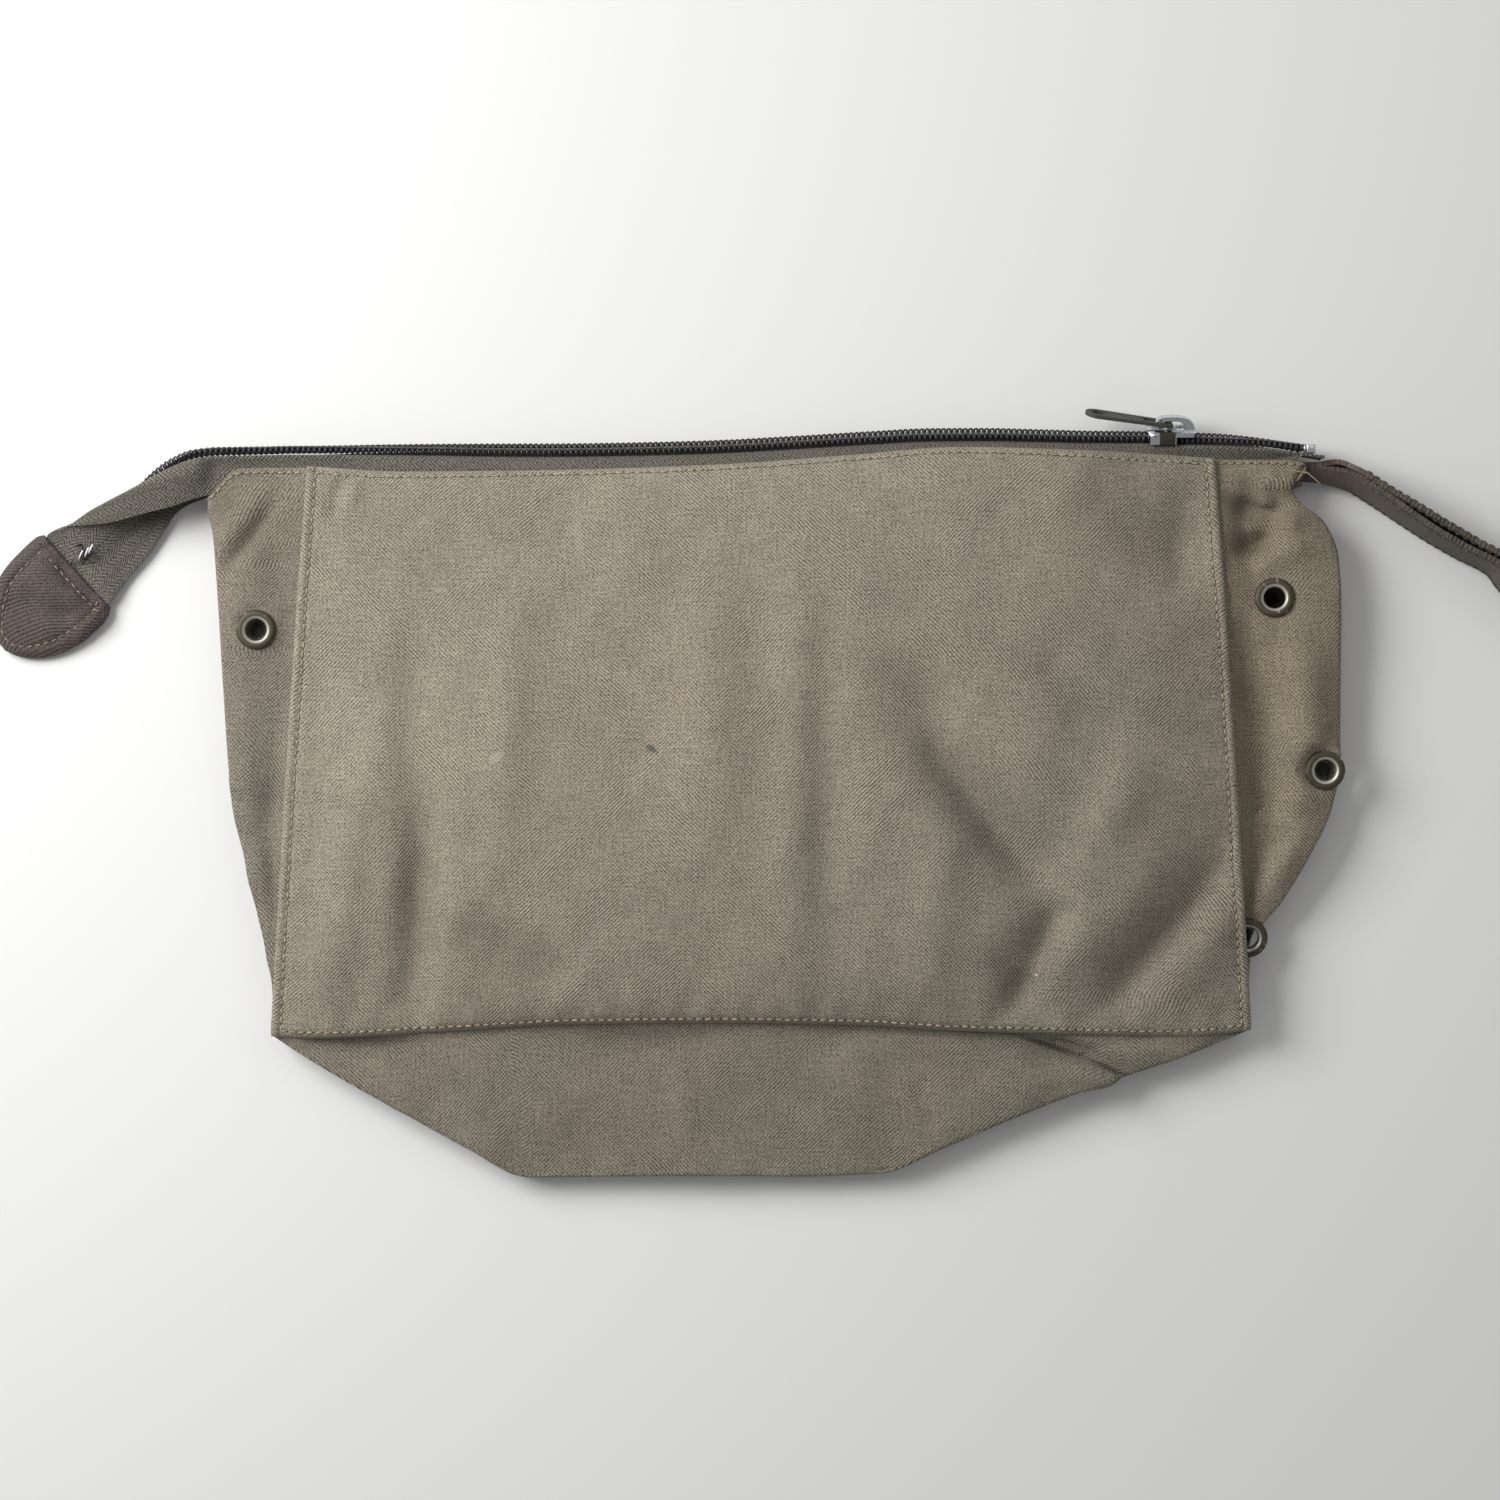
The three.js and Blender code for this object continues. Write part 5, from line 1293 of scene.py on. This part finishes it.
slub_v = noise_node(weave, combine(weave, math_node(weave, "MULTIPLY", u, 1700.0), math_node(weave, "MULTIPLY", v, 110.0)), 1.0)
slub = math_node(weave, "SUBTRACT", math_node(weave, "ADD", slub_u, slub_v), 1.0)
shade = total_of(weave, (checker, 0.12), (lines, 0.32), (grain, 2.4), (slub, 0.5))
height = total_of(weave, (checker, 0.35), (lines, 0.35), (grain, 0.9))
weave.links.new(math_node(weave, "ADD", height, 0.5), result.inputs["Height"])
weave.links.new(math_node(weave, "ADD", shade, 0.5), result.inputs["Shade"])

herringbone, given, result = new_group(
    "herringbone_weave", [("Line pitch", 0.0014), ("Speckle", 1.0)], ["Height", "Shade"]
)
u, v = uv_parts(herringbone)
zigzag = math_node(herringbone, "PINGPONG", u, 0.0026)
turns = math_node(herringbone, "DIVIDE", 2 * math.pi, given.outputs["Line pitch"])
lines = math_node(herringbone, "SINE", math_node(herringbone, "MULTIPLY", turns, total_of(herringbone, (zigzag, 1.1), (v, 1.0))))
grain = noise_node(herringbone, combine(herringbone, u, v), 1300.0, 3.0, 0.7)
grain = math_node(herringbone, "MULTIPLY", math_node(herringbone, "SUBTRACT", grain, 0.5), given.outputs["Speckle"])
shade = total_of(herringbone, (lines, 0.28), (grain, 2.6))
weave_height = total_of(herringbone, (lines, 0.5), (grain, 0.4))
herringbone.links.new(math_node(herringbone, "ADD", weave_height, 0.5), result.inputs["Height"])
herringbone.links.new(math_node(herringbone, "ADD", shade, 0.5), result.inputs["Shade"])
print("weave nodes:", len(weave.nodes) + len(herringbone.nodes))

# %% [markdown]
# ## Age and wear
#
# A used bag is never one colour. Broad clouds shift the tint between warm and green, and light worn patches sit
# where the cloth was rubbed. The group reads Object coordinates, so the clouds run on from piece to piece.

# %% Age group
age, given, result = new_group("cloth_age", [("Cloud size", 18.0)], ["Cloud", "Rub"])
where = age.nodes.new("ShaderNodeTexCoord").outputs["Object"]
clouds = age.nodes.new("ShaderNodeTexNoise")
clouds.inputs["Detail"].default_value = 3.0
age.links.new(where, clouds.inputs["Vector"])
age.links.new(given.outputs["Cloud size"], clouds.inputs["Scale"])
rub = noise_node(age, where, 60.0, 4.0, 0.6)
age.links.new(clouds.outputs["Fac"], result.inputs["Cloud"])
age.links.new(rub, result.inputs["Rub"])
print("age nodes:", len(age.nodes))

# %% [markdown]
# ## Cloth finishes
#
# Each cloth is one Principled shader: weave and age give the colour, the weave gives the bump, and a little
# sheen stands for the fuzz. Colours were compared with the photo, panel by panel.

# %% Cloth finishes
def linear(rgb):
    """An sRGB colour from 0 to 255 as linear values."""
    c = np.array(rgb, float) / 255
    return [float(x) for x in np.where(c <= 0.04045, c / 12.92, ((c + 0.055) / 1.055) ** 2.4)] + [1.0]


def group_node(tree, group, **values):
    node = tree.nodes.new("ShaderNodeGroup")
    node.node_tree = group
    for key, value in values.items():
        node.inputs[key.replace("_", " ")].default_value = value
    return node


def mix_colour(tree, share, a, b, blend="MIX"):
    node = tree.nodes.new("ShaderNodeMix")
    node.data_type, node.blend_type = "RGBA", blend
    slots = [s for s in node.inputs if s.type == "RGBA"]
    for socket, value in zip([node.inputs[0], *slots], (share, a, b)):
        if isinstance(value, (int, float, list, tuple)):
            socket.default_value = value
        else:
            tree.links.new(value, socket)
    return [s for s in node.outputs if s.type == "RGBA"][0]


def cloth_material(
    name, colour, woven=None, pitch=0.00095, speckle=1.0, bend=0.0025, contrast=1.3, bump=0.16, marks=(), painted_light_and_shade=()
):
    """A woven cloth: its colour, its weave, how strongly the weave shows, the marks on it and its ovals of painted
    light and shade.
    """
    material = bpy.data.materials.new(name)
    material.use_nodes = True
    tree = material.node_tree
    shader = tree.nodes["Principled BSDF"]
    woven = group_node(tree, woven or weave, Line_pitch=pitch, Speckle=speckle)
    if "Bend" in woven.inputs:
        woven.inputs["Bend"].default_value = bend
    worn = group_node(tree, age, Cloud_size=16.0)
    base = np.array(linear(colour)[:3])
    dark = list(base * (1 - 0.5 * contrast)) + [1.0]
    light = list(np.minimum(base * (1 + 0.5 * contrast), 1)) + [1.0]
    tone = mix_colour(tree, woven.outputs["Shade"], dark, light)
    tint = mix_colour(tree, ramp(tree, worn.outputs["Cloud"], 0.38, 0.62), [1.02, 1.0, 0.985, 1], [0.975, 1.0, 0.99, 1])
    tone = mix_colour(tree, 1.0, tone, tint, "MULTIPLY")
    faded = mix_colour(tree, ramp(tree, worn.outputs["Rub"], 0.3, 0.75), [0.92, 0.92, 0.92, 1], [1.07, 1.07, 1.06, 1])
    tone = mix_colour(tree, 1.0, tone, faded, "MULTIPLY")
    # Each oval multiplies the colour by its factor: below 1 it is painted shade, above 1 painted light.
    for spot, size, turn, factor in painted_light_and_shade:
        share = soft_patch(tree, spot, size, turn)
        tone = mix_colour(tree, share, tone, mix_colour(tree, 1.0, tone, [factor, factor, factor, 1], "MULTIPLY"))
    # Marks are soiled spots and rubbed places, and also the painted shade under the eyelets.
    for stain_or_painted_shade in marks:
        tone = ragged_mark(tree, tone, **stain_or_painted_shade)
    tree.links.new(tone, shader.inputs["Base Color"])
    rough = tree.nodes.new("ShaderNodeMapRange")
    tree.links.new(woven.outputs["Height"], rough.inputs["Value"])
    rough.inputs["To Min"].default_value, rough.inputs["To Max"].default_value = 0.98, 0.84
    tree.links.new(rough.outputs["Result"], shader.inputs["Roughness"])
    relief = tree.nodes.new("ShaderNodeBump")
    relief.inputs["Strength"].default_value = 0.7
    relief.inputs["Distance"].default_value = bump * MM
    tree.links.new(woven.outputs["Height"], relief.inputs["Height"])
    tree.links.new(relief.outputs["Normal"], shader.inputs["Normal"])
    shader.inputs["Sheen Weight"].default_value = 0.06
    shader.inputs["Sheen Roughness"].default_value = 0.6
    shader.inputs["Specular IOR Level"].default_value = 0.25
    return material


def patch_length(tree, spot, size, turn):
    """Distance from a place in the photo, as a share of an oval's half sizes in millimetres."""
    x, y = from_photo(*spot)
    shift = tree.nodes.new("ShaderNodeMapping")
    shift.vector_type = "TEXTURE"
    shift.inputs["Location"].default_value = (x * MM, y * MM, 0)
    shift.inputs["Rotation"].default_value = (0, 0, math.radians(turn))
    shift.inputs["Scale"].default_value = (size[0] * MM, size[1] * MM, 1)
    tree.links.new(tree.nodes.new("ShaderNodeTexCoord").outputs["Object"], shift.inputs["Vector"])
    parts = tree.nodes.new("ShaderNodeSeparateXYZ")
    tree.links.new(shift.outputs[0], parts.inputs[0])
    flat = combine(tree, parts.outputs["X"], parts.outputs["Y"])
    length = tree.nodes.new("ShaderNodeVectorMath")
    length.operation = "LENGTH"
    tree.links.new(flat, length.inputs[0])
    return flat, length.outputs["Value"]


def soft_patch(tree, spot, size, turn):
    """1 in the middle of an oval, falling softly to 0 at its rim."""
    flat, length = patch_length(tree, spot, size, turn)
    node = tree.nodes.new("ShaderNodeMapRange")
    node.interpolation_type = "SMOOTHSTEP"
    tree.links.new(length, node.inputs["Value"])
    node.inputs["From Min"].default_value, node.inputs["From Max"].default_value = 1.0, 0.1
    return node.outputs["Result"]


def ragged_mark(tree, tone, spot, size, turn, colour, strength, seed=0.0, ragged=1.3):
    """A soiled spot, a rubbed place or a patch of painted shade, with a torn edge."""
    flat, length = patch_length(tree, spot, size, turn)
    shift = tree.nodes.new("ShaderNodeVectorMath")
    shift.operation = "ADD"
    shift.inputs[1].default_value = (seed, 0, 0)
    tree.links.new(flat, shift.inputs[0])
    torn = noise_node(tree, shift.outputs[0], 1.7, 4.0, 0.65)
    edge = math_node(tree, "SUBTRACT", 0.7 + ragged / 2, math_node(tree, "ADD", length, math_node(tree, "MULTIPLY", torn, ragged)))
    share = math_node(tree, "MULTIPLY", math_node(tree, "MULTIPLY", edge, 3.0, clamp=True), strength)
    return mix_colour(tree, share, tone, linear(colour))


def dress(pieces, material):
    for piece in pieces:
        piece.data.materials.clear()
        piece.data.materials.append(material)


def mark(spot, size, turn, colour, strength, seed=0.0, ragged=1.3):
    return dict(spot=spot, size=size, turn=turn, colour=colour, strength=strength, seed=seed, ragged=ragged)


panel_marks = [
    mark((653, 749), (3.4, 1.7), -35, (84, 82, 82), 0.8),
    mark((500, 757), (4.2, 2.6), 35, (176, 172, 164), 0.5, 3.1),
    mark((684, 803), (1.1, 0.9), 0, (176, 170, 158), 0.6, 5.2),
    mark((580, 540), (2.4, 16.0), 8, (170, 166, 156), 0.25, 7.4),
    mark((590, 940), (2.6, 12.0), -25, (160, 156, 146), 0.3, 9.9),
    mark((485, 880), (2.4, 5.0), 10, (160, 156, 146), 0.3, 12.7),
    mark((1035, 974), (0.9, 0.8), 0, (200, 196, 188), 0.8, 15.5),
    mark((668, 555), (3.4, 1.8), 20, (170, 164, 148), 0.4, 17.3),
]
# Painted light and shade on the front panel: ovals below 1 are painted shade in troughs and on slopes turned from the
# lamp, ovals above 1 are painted light.
panel_painted_light_and_shade = [
    ((1150, 500), (36, 30), -20, 0.78), ((1200, 720), (20, 70), 0, 0.86), ((1000, 830), (26, 40), 35, 0.82),
    ((1190, 960), (40, 40), 0, 0.84), ((1040, 970), (24, 24), 0, 0.84), ((420, 890), (9, 46), 0, 0.78), ((640, 960), (60, 26), 0, 1.06),
    ((505, 948), (28, 16), -25, 0.8), ((430, 520), (70, 44), 0, 0.9), ((760, 700), (70, 70), 0, 1.07),
    ((830, 760), (7, 60), 0, 0.92), ((330, 960), (16, 30), 0, 0.9), ((352, 545), (14, 34), 0, 0.95),
]
# A near-black spot on the wall cloth under each eyelet: painted shade, so the bore looks dark like the bag's inside.
eyelet_bore_painted_shade = [
    mark((middle[0] / PIXEL + PHOTO_ORIGIN[0], PHOTO_ORIGIN[1] - middle[1] / PIXEL), (5.4, 5.4), 0, (30, 28, 26), 0.95, 0, 0.1)
    for middle, axis in eyelet_spots.values()
]
panel_canvas = cloth_material("panel_canvas", (148, 139, 125), marks=panel_marks, painted_light_and_shade=panel_painted_light_and_shade)
# Painted shade in the slanting crease at the top of the left wall and in the valley beside the panel's seam.
left_canvas = cloth_material(
    "left_wall_canvas", (129, 121, 109), marks=eyelet_bore_painted_shade,
    painted_light_and_shade=[((250, 530), (16, 22), 0, 0.84), ((290, 600), (6, 50), 0, 0.88)],
)
# Painted shade in the gathers under the loop, and painted light on the hump further out.
right_canvas = cloth_material(
    "right_wall_canvas", (138, 127, 111), marks=eyelet_bore_painted_shade,
    painted_light_and_shade=[((1262, 515), (22, 20), 0, 0.86), ((1300, 700), (10, 40), 0, 1.06)],
)
# Painted shadow along the bottom seam, and painted shade in the crease at the right.
bottom_canvas = cloth_material(
    "bottom_canvas", (130, 123, 110),
    painted_light_and_shade=[((360, 1046), (30, 5), 0, 0.75), ((640, 1040), (36, 5), 0, 0.8), ((1050, 1050), (44, 6), -12, 0.8),
            ((962, 1029), (19, 1.3), -4, 0.5), ((1052, 1047), (17, 1.5), -18, 0.36), ((1110, 1069), (10, 1.6), -24, 0.36)],
)
tape_cloth = cloth_material("zip_tape_weave", (104, 99, 91), woven=herringbone, pitch=0.0013, contrast=1.4, bump=0.25)
tab_twill = cloth_material("tab_twill", (84, 75, 71), pitch=0.001, bend=0.0006, bump=0.2)
loop_twill = cloth_material("loop_twill", (92, 84, 76), pitch=0.001, bend=0.0006, bump=0.2)
dress([front_panel, back_panel], panel_canvas)
dress([left_gusset], left_canvas)
dress([right_gusset], right_canvas)
dress([bottom_panel], bottom_canvas)
dress([front_tape, back_tape], tape_cloth)
dress([tab], tab_twill)
dress([hanging_loop], loop_twill)

# %% [markdown]
# ## Thread, plastic and metal
#
# The thread is slightly glossy cotton with twisted strands. The coil is near-black nylon with a soft gloss. The slider
# is bright chrome with dark patches of painted reflection, and a dark painted panel on its front. The eyelets have
# olive paint, worn to bright metal on the collar.

# %% Thread, plastic and metal
def thread_material(name, colour, dark):
    material = bpy.data.materials.new(name)
    material.use_nodes = True
    tree = material.node_tree
    shader = tree.nodes["Principled BSDF"]
    where = tree.nodes.new("ShaderNodeTexCoord").outputs["Object"]
    twist = noise_node(tree, where, 900.0, 2.0)
    tree.links.new(mix_colour(tree, ramp(tree, twist, 0.35, 0.65), linear(dark), linear(colour)), shader.inputs["Base Color"])
    shader.inputs["Roughness"].default_value = 0.75
    relief = tree.nodes.new("ShaderNodeBump")
    relief.inputs["Distance"].default_value = 0.1 * MM
    tree.links.new(twist, relief.inputs["Height"])
    tree.links.new(relief.outputs["Normal"], shader.inputs["Normal"])
    return material


def worn_metal(name, bright, paint, low, high, rough=0.25, scale=700.0, metallic=1.0):
    """Metal with patches of a second colour: worn paint, and on the slider painted dark reflections. low and high say
    how much of it is worn.
    """
    material = bpy.data.materials.new(name)
    material.use_nodes = True
    tree = material.node_tree
    shader = tree.nodes["Principled BSDF"]
    where = tree.nodes.new("ShaderNodeTexCoord").outputs["Object"]
    patches = noise_node(tree, where, scale, 5.0, 0.6)
    scratches = noise_node(tree, where, 2600.0, 3.0, 0.6)
    edge = tree.nodes.new("ShaderNodeNewGeometry").outputs["Pointiness"]
    mask = math_node(tree, "ADD", patches, math_node(tree, "MULTIPLY", math_node(tree, "SUBTRACT", edge, 0.5), 3.0))
    worn = ramp(tree, mask, low, high)
    tree.links.new(mix_colour(tree, worn, linear(paint), linear(bright)), shader.inputs["Base Color"])
    tree.links.new(math_node(tree, "MULTIPLY", worn, metallic), shader.inputs["Metallic"])
    roughness = math_node(tree, "ADD", math_node(tree, "MULTIPLY", scratches, 0.25), rough)
    painted = math_node(tree, "MULTIPLY", math_node(tree, "SUBTRACT", 1.0, worn), 0.25)
    tree.links.new(math_node(tree, "ADD", roughness, painted), shader.inputs["Roughness"])
    relief = tree.nodes.new("ShaderNodeBump")
    relief.inputs["Distance"].default_value = 0.04 * MM
    tree.links.new(patches, relief.inputs["Height"])
    tree.links.new(relief.outputs["Normal"], shader.inputs["Normal"])
    return material


def eyelet_finish(name, bright, paint):
    """Paint that is rubbed off round the bore. The ring's UV map holds its radius and height."""
    material = worn_metal(name, bright, paint, 0.68, 0.86, rough=0.2, scale=420.0)
    tree = material.node_tree
    shader = tree.nodes["Principled BSDF"]
    out, high = uv_parts(tree)
    bare = ramp(tree, out, EYELET_HOLE / 2 + 1.0, EYELET_HOLE / 2 + 0.45)
    below = ramp(tree, high, -0.2, 0.3)
    bare = math_node(tree, "MULTIPLY", bare, below)
    painted = shader.inputs["Base Color"].links[0].from_socket
    tree.links.new(mix_colour(tree, bare, painted, linear(bright)), shader.inputs["Base Color"])
    metallic = math_node(tree, "MAXIMUM", math_node(tree, "MAXIMUM", shader.inputs["Metallic"].links[0].from_socket, bare), 0.55)
    tree.links.new(metallic, shader.inputs["Metallic"])
    return material


SLIDER_PANEL_X, SLIDER_PANEL_HALF, SLIDER_PANEL_TOP = 124.6, 2.4, 96.2
tan_thread = thread_material("tan_thread", (190, 176, 152), (140, 128, 108))
tab_thread = thread_material("tab_thread", (158, 142, 124), (108, 97, 86))
# Colour of the needle-hole discs: painted shade.
hole_shade = thread_material("needle_hole_shade", (82, 75, 64), (60, 55, 48))
grey_thread = thread_material("grey_thread", (100, 95, 86), (56, 52, 48))
loop_thread = thread_material("loop_thread", (100, 92, 84), (66, 60, 54))
dark_thread = thread_material("dark_thread", (78, 73, 68), (50, 47, 44))
nylon = bpy.data.materials.new("coil_nylon")
nylon.use_nodes = True
tree = nylon.node_tree
shader = tree.nodes["Principled BSDF"]
where = tree.nodes.new("ShaderNodeTexCoord").outputs["Object"]
speckle = noise_node(tree, where, 500.0, 3.0)
tree.links.new(mix_colour(tree, ramp(tree, speckle, 0.3, 0.7), linear((30, 28, 34)), linear((56, 52, 58))), shader.inputs["Base Color"])
shader.inputs["Roughness"].default_value = 0.4
# On the slider the dark patches are painted dark reflections in the chrome, not paint; the dark panel on its front is
# real paint.
bright = worn_metal("slider_metal_and_painted_reflections", (216, 218, 224), (40, 38, 36), 0.46, 0.51, rough=0.05, scale=300.0)
tree = bright.node_tree
shader = tree.nodes["Principled BSDF"]
parts = tree.nodes.new("ShaderNodeSeparateXYZ")
tree.links.new(tree.nodes.new("ShaderNodeTexCoord").outputs["Object"], parts.inputs[0])
panel = math_node(tree, "COMPARE", parts.outputs["X"], SLIDER_PANEL_X * MM)
panel.node.inputs[2].default_value = SLIDER_PANEL_HALF * MM
panel = math_node(tree, "MULTIPLY", panel, math_node(tree, "LESS_THAN", parts.outputs["Y"], SLIDER_PANEL_TOP * MM))
chrome = shader.inputs["Base Color"].links[0].from_socket
tree.links.new(mix_colour(tree, panel, chrome, linear((54, 50, 40))), shader.inputs["Base Color"])
shine = math_node(tree, "MULTIPLY", shader.inputs["Metallic"].links[0].from_socket, math_node(tree, "SUBTRACT", 1.0, panel))
tree.links.new(shine, shader.inputs["Metallic"])
pull_paint = worn_metal("pull_paint", (104, 103, 98), (62, 62, 57), 0.66, 0.82, rough=0.3)
stop_metal = worn_metal("stop_metal", (222, 222, 226), (120, 120, 120), 0.2, 0.4, rough=0.12)
eyelet_paint = eyelet_finish("eyelet_paint", (212, 208, 198), (80, 75, 60))
dress(coil_pieces, nylon)
dress(bead_pieces, grey_thread)
dress([piece for name, piece in stitch_lines.items() if "tab" not in name and "loop" not in name], tan_thread)
dress([piece for name, piece in stitch_lines.items() if "tab" in name], tab_thread)
dress([piece for name, piece in stitch_lines.items() if "loop" in name], loop_thread)
dress(list(needle_hole_shadows.values()), hole_shade)
dress([tangle], dark_thread)
dress([slider], bright)
dress([pull], pull_paint)
dress(stops, stop_metal)
dress([prongs], worn_metal("staple_metal", (240, 240, 242), (190, 190, 190), 0.0, 0.1, rough=0.3, metallic=0.4))
dress(eyelet_pieces, eyelet_paint)

floor_paint = bpy.data.materials.new("floor_paint")
floor_paint.use_nodes = True
floor_paint.node_tree.nodes["Principled BSDF"].inputs["Base Color"].default_value = (0.86, 0.86, 0.85, 1)
floor_paint.node_tree.nodes["Principled BSDF"].inputs["Roughness"].default_value = 0.9
dress([floor], floor_paint)
print("materials:", len(bpy.data.materials))
